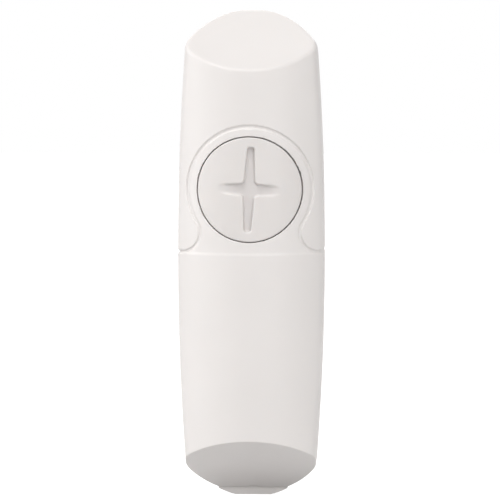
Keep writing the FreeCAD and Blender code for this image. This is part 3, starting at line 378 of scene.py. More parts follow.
def ceramicPaint(name, colour):
    paint, tree, shader = newPaint(name)
    dark = tuple(part * 0.7 for part in colour)
    colourBy(tree, shader, ramp(tree, noise(tree, 2600), [(0.35, dark), (0.65, colour)]))
    shineBy(tree, shader, noise(tree, 1500), 0.42, 0.6)
    roughen(tree, shader, noise(tree, 6000), 0.000008)
    return paint


def lampPaint(name):
    paint = mouldedPlastic(name, (0.66, 0.10, 0.07), 0.22, 0.12, 0.000002, subsurface=0.5)
    paint.node_tree.nodes["Principled BSDF"].inputs["Transmission Weight"].default_value = 0.3
    return paint


paints = {
    "cover": mouldedPlastic("coverPlastic", (0.80, 0.765, 0.745), 0.47, 0.015, subsurface=0.08),
    "disc": discPaint("discPlastic"),
    "tray": mouldedPlastic("trayPlastic", (0.78, 0.75, 0.73), 0.46, 0.02),
    "clear": clearPlastic("clearPlastic"),
    "steel": metal("zincPlate", (0.60, 0.60, 0.585), 0.32),
    "nickel": metal("nickelStrip", (0.69, 0.66, 0.60), 0.27, (1, 1, 0.12)),
    "board": boardPaint("boardResist"),
    "track": mouldedPlastic("coveredTrack", (0.035, 0.235, 0.105), 0.28, 0.10),
    "black": mouldedPlastic("blackMoulding", (0.020, 0.020, 0.022), 0.52, 0.20, 0.00001),
    "grey": mouldedPlastic("greyMoulding", (0.34, 0.34, 0.325), 0.44, 0.06),
    "blue": mouldedPlastic("blueMoulding", (0.018, 0.062, 0.26), 0.30, 0.10),
    "sleeve": sleevePaint("cellFilm"),
    "tin": metal("tinPlate", (0.66, 0.66, 0.645), 0.30),
    "can": canPaint("canAluminium"),
    "brass": metal("brass", (0.70, 0.49, 0.20), 0.30),
    "lead": mouldedPlastic("leadCover", (0.018, 0.018, 0.020), 0.45, 0.15),
    "ceramic": ceramicPaint("chipCeramic", (0.23, 0.155, 0.085)),
    "lamp": lampPaint("lampLens"),
    "card": ceramicPaint("insulatingCard", (0.62, 0.60, 0.55)),
}
print("materials made:", len(paints))


# Shapes from distances. Every function here works in millimetres, on arrays of x, y and z, and
# gives how far each point is outside the shape, or below zero how far inside.

coverLow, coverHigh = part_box("front_cover")
discLow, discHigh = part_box("lock_disc")

casing = {
    "halfWidth": coverHigh.x / mm,
    "top": coverHigh.z / mm,
    "front": coverLow.y / mm,
    "back": coverHigh.y / mm,
    "barrel": 640.0,       # the long sides' radius
    "endRound": 17.6,
    "cornerRound": 3.5,
    "crown": 19.5,
    "shoulder": 4.5,
    "flank": 40.0,
    "flankPlace": -13.0,
    "topLean": math.radians(37.4),
    "footLean": math.radians(32.5),
    "footPlace": (-3.0, -54.6),
    "hingeRound": 4.4,
    "topEdge": 1.0,        # how softly the moulded edges turn
    "footEdge": 0.3,
    "mostSlant": 0.97,     # keeps meet() off faces that run nearly parallel
}
casing["hinge"] = (casing["back"] - casing["hingeRound"], casing["top"] - casing["hingeRound"])


def meet(a, b, soft=0.15, slant=0.0):
    # What lies in both shapes, with the edge rounded. slant is the cosine of the angle between them.
    a, b = a + soft, b + soft
    corner = (a - slant * b > 0) & (b - slant * a > 0)
    reach = np.sqrt(np.maximum(a * a + b * b - 2 * slant * a * b, 0) / (1 - slant * slant))
    return np.where(corner, reach, np.maximum(a, b)) - soft


def join(a, b, soft=0.15):
    return -meet(-a, -b, soft)


def without(a, b, soft=0.15):
    return meet(a, -b, soft)


def block(x, y, z, low, high, soft=0.15):
    sides = [np.maximum(near - p, p - far) for p, near, far in zip((x, y, z), low, high)]
    return meet(meet(sides[0], sides[1], soft), sides[2], soft)


def rodAlongY(x, y, z, middle, radius, near, far, soft=0.15):
    return meet(np.hypot(x - middle[0], z - middle[1]) - radius, np.maximum(near - y, y - far), soft)


def sectionField(x, y, z, inset):
    # The section across the body: crown, shoulder, flank and a straight wall, all tangent.
    c = casing
    side = c["halfWidth"] - (c["barrel"] - np.sqrt(c["barrel"] ** 2 - z * z))
    shoulder = c["shoulder"] - inset
    crownGap, flankGap = c["crown"] - c["shoulder"], c["flank"] - c["shoulder"]
    crownY = c["front"] + c["crown"]
    flankX, flankY = side - c["flank"], c["flankPlace"]
    apartY = flankY - crownY
    apart = np.hypot(flankX, apartY)
    along = (crownGap ** 2 - flankGap ** 2 + apart ** 2) / (2 * apart)
    across = np.sqrt(crownGap ** 2 - along ** 2)
    middleX = (flankX * along - apartY * across) / apart
    middleY = crownY + (apartY * along + flankX * across) / apart
    x = np.abs(x)
    fromCrown = np.hypot(x, y - crownY)
    fromFlank = np.hypot(x - flankX, y - flankY)
    upright = y > flankY
    crownSide = fromCrown - crownGap
    flankSide = np.where(upright, x - flankX, fromFlank) - flankGap
    wx, wy = x - middleX, y - middleY
    corner = ((middleX * wy - (middleY - crownY) * wx > 0)
              & (wx * (middleY - flankY) - wy * (middleX - flankX) > 0))
    reach = np.maximum(np.hypot(wx, wy), 1e-6)
    onCrown = crownSide > flankSide
    value = np.where(corner, reach, np.maximum(crownSide, flankSide)) - shoulder
    flankOutX = np.where(upright, 1.0, (x - flankX) / fromFlank)
    flankOutY = np.where(upright, 0.0, (y - flankY) / fromFlank)
    slopeX = np.where(corner, wx / reach, np.where(onCrown, x / fromCrown, flankOutX))
    slopeY = np.where(corner, wy / reach, np.where(onCrown, (y - crownY) / fromCrown, flankOutY))
    return value, slopeX, slopeY


def casingField(x, y, z, inset=0.0, hollow=False):
    c = casing
    section, slopeX, slopeY = sectionField(x, y, z, inset)
    past = np.maximum(np.abs(z) - (c["top"] - c["endRound"]), 0)
    span = np.maximum(np.hypot(x, past), 1e-6)
    end = span - (c["endRound"] - inset)
    endX, endZ = np.abs(x) / span, past / span
    slant = np.clip(slopeX * endX, 0, c["mostSlant"])
    body = meet(section, end, max(c["cornerRound"] - inset, 0.3), slant)
    sideways = np.clip(0.5 + (section - end) / 2, 0, 1)   # 1 where the wall is nearer than the end
    # The bevel at the foot
    lean, run = math.sin(c["footLean"]), math.cos(c["footLean"])
    foot = -(y - c["footPlace"][0]) * lean - (z - c["footPlace"][1]) * run + inset
    slant = sideways * -slopeY * lean + (1 - sideways) * endZ * (z < 0) * run
    body = meet(body, foot, c["footEdge"], np.clip(slant, 0, c["mostSlant"]))
    # The bevel at the top and the round over the hinge
    lean, run = math.sin(c["topLean"]), math.cos(c["topLean"])
    radius = c["hingeRound"] - inset
    outY, outZ = y - c["hinge"][0], z - c["hinge"][1]
    flat = outZ * run - outY * lean - radius
    ahead = -outY * run - outZ * lean > 0
    out = np.hypot(outY, outZ)
    fromRound = out - radius
    behind = np.minimum(fromRound, outZ) if hollow else np.where(outZ < 0, outY - radius, fromRound)
    rise = np.where(ahead, run, outZ / np.maximum(out, 1e-6))
    slant = sideways * -slopeY * lean * ahead + (1 - sideways) * endZ * (z > 0) * rise
    return meet(body, np.where(ahead, flat, behind), c["topEdge"], np.clip(slant, 0, c["mostSlant"]))


# Skins. A skin is a closed mesh laid over a shape: square cells first, then finer ones where the
# surface turns sharply or a moulded line runs, and every point is settled on the shape itself.

def slopeOf(field, points, step=0.004):
    slope = np.empty_like(points)
    for axis in range(3):
        ahead, behind = points.copy(), points.copy()
        ahead[:, axis] += step
        behind[:, axis] -= step
        slope[:, axis] = (field(*ahead.T) - field(*behind.T)) / (2 * step)
    return slope


def settle(field, points, most, rounds=4):
    for _ in range(rounds):
        slope = slopeOf(field, points)
        steep = np.maximum((slope ** 2).sum(1), 0.05)
        move = slope * (field(*points.T) / steep)[:, None]
        length = np.maximum(np.linalg.norm(move, axis=1), 1e-9)
        points = points - move * np.minimum(1, most / length)[:, None]
    return points


def cellSkin(field, low, high, cell):
    ticks = [np.arange(a - 1.5 * cell, b + 2.5 * cell, cell) for a, b in zip(low, high)]
    shape = tuple(len(t) for t in ticks)
    value = np.broadcast_to(field(*np.meshgrid(*ticks, indexing="ij", sparse=True)), shape)
    inside = value < 0
    count = np.zeros([n - 1 for n in shape], np.int8)
    for i, j, k in itertools.product((0, 1), repeat=3):
        count += inside[i:shape[0] - 1 + i, j:shape[1] - 1 + j, k:shape[2] - 1 + k]
    active = (count > 0) & (count < 8)
    number = np.full(active.shape, -1)
    number[active] = np.arange(active.sum())
    cells = np.argwhere(active)
    total, hits = np.zeros((len(cells), 3)), np.zeros(len(cells))
    quads = []
    for axis in range(3):
        one, two = [other for other in range(3) if other != axis]
        for a, b in itertools.product((0, 1), repeat=2):
            start = np.zeros(3, int)
            start[one], start[two] = a, b
            stop = start.copy()
            stop[axis] = 1
            near, far = value[tuple((cells + start).T)], value[tuple((cells + stop).T)]
            crossed = (near < 0) != (far < 0)
            point = (cells + start).astype(float)
            point[:, axis] += np.where(crossed, near / np.where(crossed, near - far, 1), 0)
            total += point * crossed[:, None]
            hits += crossed
        first, last = [slice(None)] * 3, [slice(None)] * 3
        first[axis], last[axis] = slice(None, -1), slice(1, None)
        edges = np.argwhere(inside[tuple(first)] != inside[tuple(last)])
        stepOne, stepTwo = np.eye(3, dtype=int)[one], np.eye(3, dtype=int)[two]
        ring = [edges, edges - stepOne, edges - stepOne - stepTwo, edges - stepTwo]
        quad = np.stack([number[tuple(r.T)] for r in ring], axis=1)
        outward = inside[tuple(edges.T)] if axis != 1 else ~inside[tuple(edges.T)]
        quads.append(np.where(outward[:, None], quad, quad[:, ::-1]))
    origin = np.array([t[0] for t in ticks])
    return origin + total / hits[:, None] * cell, np.concatenate(quads)


def skin(name, field, low, high, cell, finer=(22, 22), near=None, plain=None):
    # plain is the shape without its finest lines, and near tells how far a point is from them.
    points, quads = cellSkin(plain or field, low, high, cell)
    points = settle(plain or field, points, cell / 2)
    mesh = bpy.data.meshes.new(name)
    mesh.from_pydata(points.tolist(), [], quads.tolist())
    for turn in finer:
        slope = slopeOf(plain or field, points)
        slope /= np.maximum(np.linalg.norm(slope, axis=1), 1e-6)[:, None]
        shaper = bmesh.new()
        shaper.from_mesh(mesh)
        ends = np.array([[v.index for v in edge.verts] for edge in shaper.edges])
        cosine = (slope[ends[:, 0]] * slope[ends[:, 1]]).sum(1)
        wanted = cosine < math.cos(math.radians(turn))
        if near:
            wanted |= near(*((points[ends[:, 0]] + points[ends[:, 1]]) / 2).T) < 0.75 * cell
        edges = list(shaper.edges)
        chosen = set()
        for index in np.flatnonzero(wanted):
            for face in edges[index].link_faces:
                chosen.update(face.edges)
        bmesh.ops.subdivide_edges(shaper, edges=list(chosen), cuts=1, use_grid_fill=True)
        bmesh.ops.triangulate(shaper, faces=[face for face in shaper.faces if len(face.verts) > 4])
        shaper.to_mesh(mesh)
        shaper.free()
        cell /= 2
        points = np.array([v.co for v in mesh.vertices])
        points = settle(plain or field, points, cell / 2, 3)
    if plain:
        points = settle(field, points, cell, 3)
    slope = slopeOf(field, points)
    slope /= np.maximum(np.linalg.norm(slope, axis=1), 1e-6)[:, None]
    mesh.vertices.foreach_set("co", (points * mm).astype(np.float32).ravel())
    mesh.update()
    mesh.shade_smooth()
    mesh.normals_split_custom_set_from_vertices(slope.tolist())
    piece = bpy.data.objects.new(name, mesh)
    bpy.context.scene.collection.objects.link(piece)
    print("  skin", name, len(mesh.vertices), "points")
    return piece


def boxInMm(node):
    low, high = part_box(node)
    return np.array(low) / mm, np.array(high) / mm


# The front cover

cover = {
    "wall": 1.6,
    "discPlace": (0.0, (discLow.z + discHigh.z) / 2 / mm),
    "opening": (discHigh.x - discLow.x) / 2 / mm + 0.2,
    "openingEdge": 0.15,
    "cupWall": 1.5,
    "cupFront": -19.2,
    "cupBack": -18.0,
    "boss": 4.6,
    "bossBack": -16.2,
    "bore": 3.05,
    "pipeHole": 1.15,
    "pipePlace": (7.3, 22.8),
    "barrelRadius": 3.2,
    "barrelHalf": 3.1,
    "pinRadius": 0.7,
    "pinHalf": 5.6,
    "ribPlace": 2.2,
    "ribHalf": 0.5,
    "ribFront": -7.6,
    "ribBack": -4.2,
    "ribTop": -49.9,
    "post": 2.0,
    "postPlace": (8.2, -2.8),
    "postTip": -14.7,
    "notchHalf": 8.3,
    "notchFront": -3.3,
    "notchTop": -49.6,
    "pryHalf": 1.75,
    "pryRise": 1.5,
    "pryFront": -4.2,
    "collar": 14.0,
    "levelLine": 1.2,
    "blend": 4.5,
    "lineHalf": 0.16,
    "lineFade": 0.34,
    "lineDepth": 0.3,
    "runOut": 2.5,         # over how much length a line fades
    "runStart": 0.5,
    "faint": 0.37,
    "gone": 0.6,
    "lineReach": 0.7,      # how deep under the face a point may lie and still count as near a line
    "farOff": 9.0,         # stands for no line anywhere near
    "fillet": 0.3,
    "underFace": 0.3,      # how far the inner forms stay in from the outer face
    "cell": 0.5,
}


def mouldedLines(x, y, z):
    # How far a point is from the collar ring, the level line and the blends between them. Under
    # the disc the ring runs out and the level line grows faint.
    c = cover
    x = np.abs(x)
    height = c["discPlace"][1]
    reach = c["collar"] + c["blend"]
    drop = height - c["levelLine"] - c["blend"]
    blendX = math.sqrt(reach ** 2 - drop ** 2)
    blendZ = c["levelLine"] + c["blend"]
    touchZ = height - drop * c["collar"] / reach
    ring = np.abs(np.hypot(x, z - height) - c["collar"])
    ring = ring + c["gone"] * np.clip((touchZ - z) / c["runOut"], 0, 1)
    level = np.abs(z - c["levelLine"])
    level = level + c["faint"] * np.clip((blendX + c["runStart"] - x) / c["runOut"], 0, 1)
    bend = np.abs(np.hypot(x - blendX, z - blendZ) - c["blend"])
    bend = np.where((x < blendX) & (z < touchZ) & (z > c["levelLine"]), bend, c["farOff"])
    return np.minimum(np.minimum(ring, level), bend)


def coverField(x, y, z, lines=True):
    c = cover
    outer = casingField(x, y, z)
    shell = outer
    if lines:
        fade = np.clip((mouldedLines(x, y, z) - c["lineHalf"]) / c["lineFade"], 0, 1)
        shell = outer + c["lineDepth"] * (1 - fade * fade * (3 - 2 * fade))
    front = casing["front"] - 2    # clear of the body
    shell = without(shell, casingField(x, y, z, c["wall"], hollow=True), 0.1)
    shell = meet(shell, y - casing["back"], 0.25)
    cup = rodAlongY(x, y, z, c["discPlace"], c["opening"] + c["cupWall"], front, c["cupBack"])
    cup = np.maximum(cup, outer + c["underFace"])
    solid = join(shell, cup, c["fillet"])
    boss = rodAlongY(x, y, z, c["discPlace"], c["boss"], c["cupFront"], c["bossBack"], 0.25)
    solid = join(solid, boss, c["fillet"])
    post = rodAlongY(x, y, z, c["postPlace"], c["post"], front, c["postTip"], 0.3)
    solid = join(solid, np.maximum(post, outer + c["underFace"]), c["fillet"])
    for side in (-1, 1):
        middle = side * c["ribPlace"]
        rib = block(x, y, z, (middle - c["ribHalf"], c["ribFront"], -casing["top"] - 2),
                    (middle + c["ribHalf"], c["ribBack"], c["ribTop"]), 0.2)
        solid = join(solid, np.maximum(rib, outer + c["underFace"]), 0.2)
    fromHinge = np.hypot(y - casing["hinge"][0], z - casing["hinge"][1])
    solid = join(solid, meet(fromHinge - c["barrelRadius"], np.abs(x) - c["barrelHalf"], 0.3), 0.3)
    solid = join(solid, meet(fromHinge - c["pinRadius"], np.abs(x) - c["pinHalf"], 0.15), 0.05)
    pocket = rodAlongY(x, y, z, c["discPlace"], c["opening"], front, c["cupFront"], 0.2)
    solid = without(solid, pocket, c["openingEdge"])
    bore = rodAlongY(x, y, z, c["discPlace"], c["bore"], front, casing["back"])
    solid = without(solid, bore, 0.2)
    pipe = rodAlongY(x, y, z, c["pipePlace"], c["pipeHole"], front, casing["back"])
    solid = without(solid, np.maximum(pipe, c["cupFront"] - 1 - y), 0.1)
    half = c["notchHalf"]
    notch = block(x, y, z, (-half, c["notchFront"], -casing["top"] - 9), (half, 9, c["notchTop"]), 0.2)
    solid = without(solid, notch, 0.2)
    footZ = casing["footPlace"][1]
    slope = c["pryRise"] / c["pryHalf"]
    wedge = (np.abs(x) * slope + z - footZ - c["pryRise"]) / math.hypot(1, slope)
    return without(solid, meet(wedge, c["pryFront"] - y, 0.15), 0.12)


def coverPlain(x, y, z):
    return coverField(x, y, z, lines=False)


def nearLines(x, y, z):
    # Only the outer face has the lines.
    c = cover
    return np.where(casingField(x, y, z) > -c["lineReach"], mouldedLines(x, y, z), c["farOff"])


def makeCover():
    low, high = boxInMm("front_cover")
    piece = skin("coverShell", coverField, low, high, cover["cell"], near=nearLines, plain=coverPlain)
    piece.data.materials.append(paints["cover"])
    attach(piece, "cover")
    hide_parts("front_cover")
    print("front cover made")


# The lock's disc

disc = {
    "radius": (discHigh.x - discLow.x) / 2 / mm,
    "edge": 0.3,
    "back": -19.5,
    "shank": 3.0,
    "shankBack": -15.9,
    "driveHalf": 2.0,
    "driveBack": discHigh.y / mm,
    "thread": 0.95,
    "threadFront": -18.2,
    "crossReach": 9.4,
    "crossTip": 0.72,
    "crossRoot": 1.38,
    "crossTurn": math.radians(2.6),   # the slot stands a little clockwise
    "crossFloor": -23.43,
    "crossEdge": 0.4,
    "tipRound": 0.5,
    "rootRound": 0.8,
    "floorRound": 0.5,
    "threadEdge": 0.4,
    "fillet": 0.2,
    "frontDepth": 2.2,     # how far back the crowned front reaches
    # shadeDepth sets how deep in the slot the painted shade reaches full strength
    "shadeDepth": 0.5,     # how deep the slot is where its grey is full
    "cell": 0.36,
}


def crossShape(x, z):
    d = disc
    up = z - cover["discPlace"][1]
    along = up * math.cos(d["crossTurn"]) + x * math.sin(d["crossTurn"])
    aside = x * math.cos(d["crossTurn"]) - up * math.sin(d["crossTurn"])
    arms = []
    for one, two in ((np.abs(along), np.abs(aside)), (np.abs(aside), np.abs(along))):
        width = d["crossRoot"] + (d["crossTip"] - d["crossRoot"]) * one / d["crossReach"]
        arms.append(meet(two - width, one - d["crossReach"], d["tipRound"]))
    return join(arms[0], arms[1], d["rootRound"])


def slotField(x, y, z):
    # Whether a point is within the slot's outline, with its rounded edges. It bounds where the disc gets
    # painted shade.
    return crossShape(x, z) < disc["crossEdge"]


def discField(x, y, z):
    d = disc
    middle = cover["discPlace"]
    height = middle[1]
    rim = np.hypot(x, z - height) - d["radius"]
    plate = meet(meet(rim, casingField(x, y, z), d["edge"]), y - d["back"], d["fillet"])
    shank = rodAlongY(x, y, z, middle, d["shank"], d["back"] - 1, d["shankBack"], 0.1)
    solid = join(plate, shank, d["fillet"])
    half = d["driveHalf"]
    drive = block(x, y, z, (-half, d["shankBack"] - 1, height - half),
                  (half, d["driveBack"], height + half), d["fillet"])
    solid = join(solid, drive, 0.1)
    thread = rodAlongY(x, y, z, middle, d["thread"], d["threadFront"], 0, d["threadEdge"])
    solid = without(solid, thread, 0.1)
    cross = meet(crossShape(x, z), y - d["crossFloor"], d["floorRound"])
    return without(solid, cross, d["crossEdge"])


def makeDisc():
    low, high = boxInMm("lock_disc")
    piece = skin("lockDisc", discField, low, high, disc["cell"], finer=(14, 18))
    place = np.array([v.co for v in piece.data.vertices]) / mm
    # Painted shade for the slot: how deep each point lies under the crowned face within the slot's outline,
    # kept as the sunk attribute that greys the disc's colour
    front = place[:, 1] < casing["front"] + disc["frontDepth"]
    slotShadeDepth = np.where(front & slotField(*place.T), -casingField(*place.T), 0.0)
    sunk = piece.data.attributes.new("sunk", "FLOAT", "POINT")
    sunk.data.foreach_set("value", np.clip(slotShadeDepth / disc["shadeDepth"], 0, 1).astype(np.float32))
    piece.data.materials.append(paints["disc"])
    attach(piece, "lock")
    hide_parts("lock_disc")
    print("disc made")


makeCover()
makeDisc()


# What stands behind the cover. Hard parts keep their shape from the frame and get their edges
# broken; turned, bent and printed parts are made here.

def dress(piece, node, paint, body="base"):
    piece.data.materials.clear()
    piece.data.materials.append(paints[paint])
    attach(piece, body)
    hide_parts(node)


def softened(node, name, edge, steps=2):
    mesh = nodes[node].data.copy()
    mesh.name = name
    shaper = bmesh.new()
    shaper.from_mesh(mesh)
    bmesh.ops.remove_doubles(shaper, verts=shaper.verts, dist=0.0000005)
    bmesh.ops.dissolve_limit(shaper, angle_limit=math.radians(0.5), verts=shaper.verts, edges=shaper.edges)
    shaper.to_mesh(mesh)
    shaper.free()
    mesh.shade_smooth()
    piece = bpy.data.objects.new(name, mesh)
    bpy.context.scene.collection.objects.link(piece)
    bevel = piece.modifiers.new("brokenEdges", "BEVEL")
    bevel.width = edge * mm
    bevel.segments = steps
    bevel.limit_method = "ANGLE"
    bevel.angle_limit = math.radians(35)
    piece.modifiers.new("flatFaces", "WEIGHTED_NORMAL")
    return piece


def meshPiece(name, points, faces, sharp=35):
    # points in millimetres
    mesh = bpy.data.meshes.new(name)
    mesh.from_pydata([tuple(p * mm for p in point) for point in points], [], faces)
    shaper = bmesh.new()
    shaper.from_mesh(mesh)
    bmesh.ops.recalc_face_normals(shaper, faces=shaper.faces)
    shaper.to_mesh(mesh)
    shaper.free()
    mesh.shade_smooth()
    mesh.set_sharp_from_angle(angle=math.radians(sharp))
    piece = bpy.data.objects.new(name, mesh)
    bpy.context.scene.collection.objects.link(piece)
    return piece


def rounded(corners, arcSteps=4):
    # A corner is (r, h) or (r, h, round)
    line = []
    for number, corner in enumerate(corners):
        if len(corner) == 2:
            line.append(np.array(corner, float))
            continue
        here = np.array(corner[:2], float)
        before = np.array(corners[number - 1][:2], float) - here
        after = np.array(corners[(number + 1) % len(corners)][:2], float) - here
        start = here + before / np.linalg.norm(before) * corner[2]
        end = here + after / np.linalg.norm(after) * corner[2]
        for t in np.linspace(0, 1, arcSteps + 1):
            line.append((1 - t) ** 2 * start + 2 * t * (1 - t) * here + t * t * end)
    return line


def turned(name, corners, centre, axis="z", ring=False, around=72):
    # Turns an outline of (radius, height) about an axis through centre. ring: it closes on itself.
    line = rounded(corners)
    points, rows = [], []
    for radius, height in line:
        row = []
        for index in range(1 if radius < 1e-9 else around):
            turn = 2 * math.pi * index / around
            a, b = radius * math.cos(turn), radius * math.sin(turn)
            row.append(len(points))
            if axis == "z":
                points.append((centre[0] + a, centre[1] + b, height))
            else:
                points.append((centre[0] + a, height, centre[1] + b))
        rows.append(row)
    faces = []
    pairs = list(zip(rows, rows[1:])) + ([(rows[-1], rows[0])] if ring else [])
    for low, high in pairs:
        for index in range(around):
            after = (index + 1) % around
            if len(low) == 1:
                faces.append((low[0], high[index], high[after]))
            elif len(high) == 1:
                faces.append((low[index], high[0], low[after]))
            else:
                faces.append((low[index], high[index], high[after], low[after]))
    return meshPiece(name, points, faces)


battery = {
    "centre": (0.0, -11.3),
    "radius": 7.8,
    "foot": -35.8,
    "top": -9.6,
    "nub": 2.9,
    "nubRise": 0.8,
    "nubRound": 0.25,
    "film": 0.12,
    "underFilm": 0.03,     # between the film and the can
    "lap": 6.3,            # where the shrunk film ends on each end of the can
    "round": 0.8,
    "groove": (5.4, 5.2, 3.7, 3.5),    # radii from its outer lip to its inner one
    "grooveDepth": 0.5,
    "grooveRound": 0.1,
    "seal": (3.9, 5.1),    # radii of the card ring in the groove
    "sealDepth": (0.48, 0.3),
}


def makeCell():
    b = battery
    radius, foot, top, film, lap = b["radius"], b["foot"], b["top"], b["film"], b["lap"]
    outer = [(lap, foot), (radius, foot, b["round"]), (radius, top, b["round"]), (lap, top)]
    inner = [(lap, top - film), (radius - film, top - film, b["round"]),
             (radius - film, foot + film, b["round"]), (lap, foot + film)]
    sleeve = turned("cellSleeve", outer + inner, b["centre"], ring=True)
    dress(sleeve, "battery_cell", "sleeve")
    under = film + b["underFilm"]
    lipOut, floorOut, floorIn, lipIn = b["groove"]
    floor, soft = top - b["grooveDepth"], b["grooveRound"]
    can = [
        (0, foot + under), (radius - under, foot + under, b["round"]),
        (radius - under, top - under, b["round"]), (lipOut, top - under),
        (floorOut, floor, soft), (floorIn, floor, soft), (lipIn, top - under),
        (b["nub"], top - under), (b["nub"], top + b["nubRise"], b["nubRound"]), (0, top + b["nubRise"]),
    ]
    dress(turned("cellCan", can, b["centre"]), "battery_cell", "tin")
    near, far = b["seal"]
    low, high = top - b["sealDepth"][0], top - b["sealDepth"][1]
    card = [(near, low), (near, high), (far, high), (far, low)]
    dress(turned("cellSeal", card, b["centre"], ring=True), "battery_cell", "card")


capacitor = {
    "centre": (7.6, 15.6),
    "radius": 2.5,
    "front": -12.0,
    "foot": -5.8,
    "dish": (1.9, 2.05),   # radii where the sunk middle of its end starts and stops to rise
    "dishDepth": 0.12,
    "frontRound": 0.3,
    "groove": (1.9, 1.65, 1.35, 1.1),  # how far ahead of the foot
    "grooveDepth": 0.22,
    "grooveRound": 0.12,
    "footRound": 0.1,
}


def makeCapacitor():
    c = capacitor
    radius, front, foot = c["radius"], c["front"], c["foot"]
    sunk, waist, soft = front + c["dishDepth"], radius - c["grooveDepth"], c["grooveRound"]
    corners = [(0, sunk), (c["dish"][0], sunk), (c["dish"][1], front), (radius, front, c["frontRound"])]
    for reach, ahead in zip((radius, waist, waist, radius), c["groove"]):
        corners.append((reach, foot - ahead, soft))
    corners += [(radius, foot, c["footRound"]), (0, foot)]
    dress(turned("capacitorCan", corners, c["centre"], "y"), "reservoir_capacitor", "can")


def blocks(name, boxes, bevel):
    # Small boxes in one mesh, with broken edges
    points, faces = [], []
    for low, high in boxes:
        first = len(points)
        points += list(itertools.product(*zip(low, high)))
        for face in ((0, 1, 3, 2), (4, 6, 7, 5), (0, 4, 5, 1), (2, 3, 7, 6), (0, 2, 6, 4), (1, 5, 7, 3)):
            faces.append(tuple(first + index for index in face))
    piece = meshPiece(name, points, faces, 60)
    modifier = piece.modifiers.new("brokenEdges", "BEVEL")
    modifier.width = bevel * mm
    modifier.segments = 2
    modifier.harden_normals = True
    return piece


chips = {
    "across": (-4.0, -2.0, 0.0, 2.0, 4.0),
    "rows": (10.4, 22.4),
    "half": (0.45, 0.85),
    "front": -6.4,
    "foot": -5.8,
    "cap": 0.32,
    "thinner": 0.03,       # the body against its end caps
    "shorter": 0.25,
}


def makeChips():
    c = chips
    bodies, caps = [], []
    wide, tall = c["half"]
    for x, z in itertools.product(c["across"], c["rows"]):
        low = (x - wide + c["thinner"], c["front"] + c["thinner"], z - tall + c["shorter"])
        high = (x + wide - c["thinner"], c["foot"], z + tall - c["shorter"])
        bodies.append((low, high))
        for end in (z - tall, z + tall - c["cap"]):
            caps.append(((x - wide, c["front"], end), (x + wide, c["foot"], end + c["cap"])))
    dress(blocks("chipBodies", bodies, 0.05), "chip_parts", "ceramic")
    dress(blocks("chipEnds", caps, 0.07), "chip_parts", "tin")


legs = {
    "centre": (0.4, 16.6),
    "half": 3.5,
    "count": 8,
    "pitch": 0.8,
    "width": 0.36,
    "metal": 0.14,
    "exit": -6.3,
    "board": -5.8,
    "root": -0.1,
    "bends": (0.35, 0.6),
    "reach": 1.1,
}


def makeLegs():
    # Gull-wing legs down all four sides of the controller
    g = legs
    onBoard = g["board"] - g["metal"]
    outward = [(g["root"], g["exit"]), (g["bends"][0], g["exit"]),
               (g["bends"][1], onBoard), (g["reach"], onBoard)]
    points, faces = [], []
    for side, number in itertools.product(range(4), range(g["count"])):
        along = (number - (g["count"] - 1) / 2) * g["pitch"]
        first = len(points)
        for out, y in outward:
            for half, deep in itertools.product((-g["width"] / 2, g["width"] / 2), (0, g["metal"])):
                a, b = g["half"] + out, along + half
                x, z = ((a, b), (b, a), (-a, b), (b, -a))[side]
                points.append((g["centre"][0] + x, y + deep, g["centre"][1] + z))
        for joint in range(len(outward) - 1):
            n = first + joint * 4
            faces += [(n, n + 2, n + 6, n + 4), (n + 1, n + 5, n + 7, n + 3),
                      (n, n + 4, n + 5, n + 1), (n + 2, n + 3, n + 7, n + 6)]
        last = first + (len(outward) - 1) * 4
        faces += [(first, first + 1, first + 3, first + 2), (last, last + 2, last + 3, last + 1)]
    piece = meshPiece("controllerLegs", points, faces)
    dress(piece, "controller_chip", "tin")


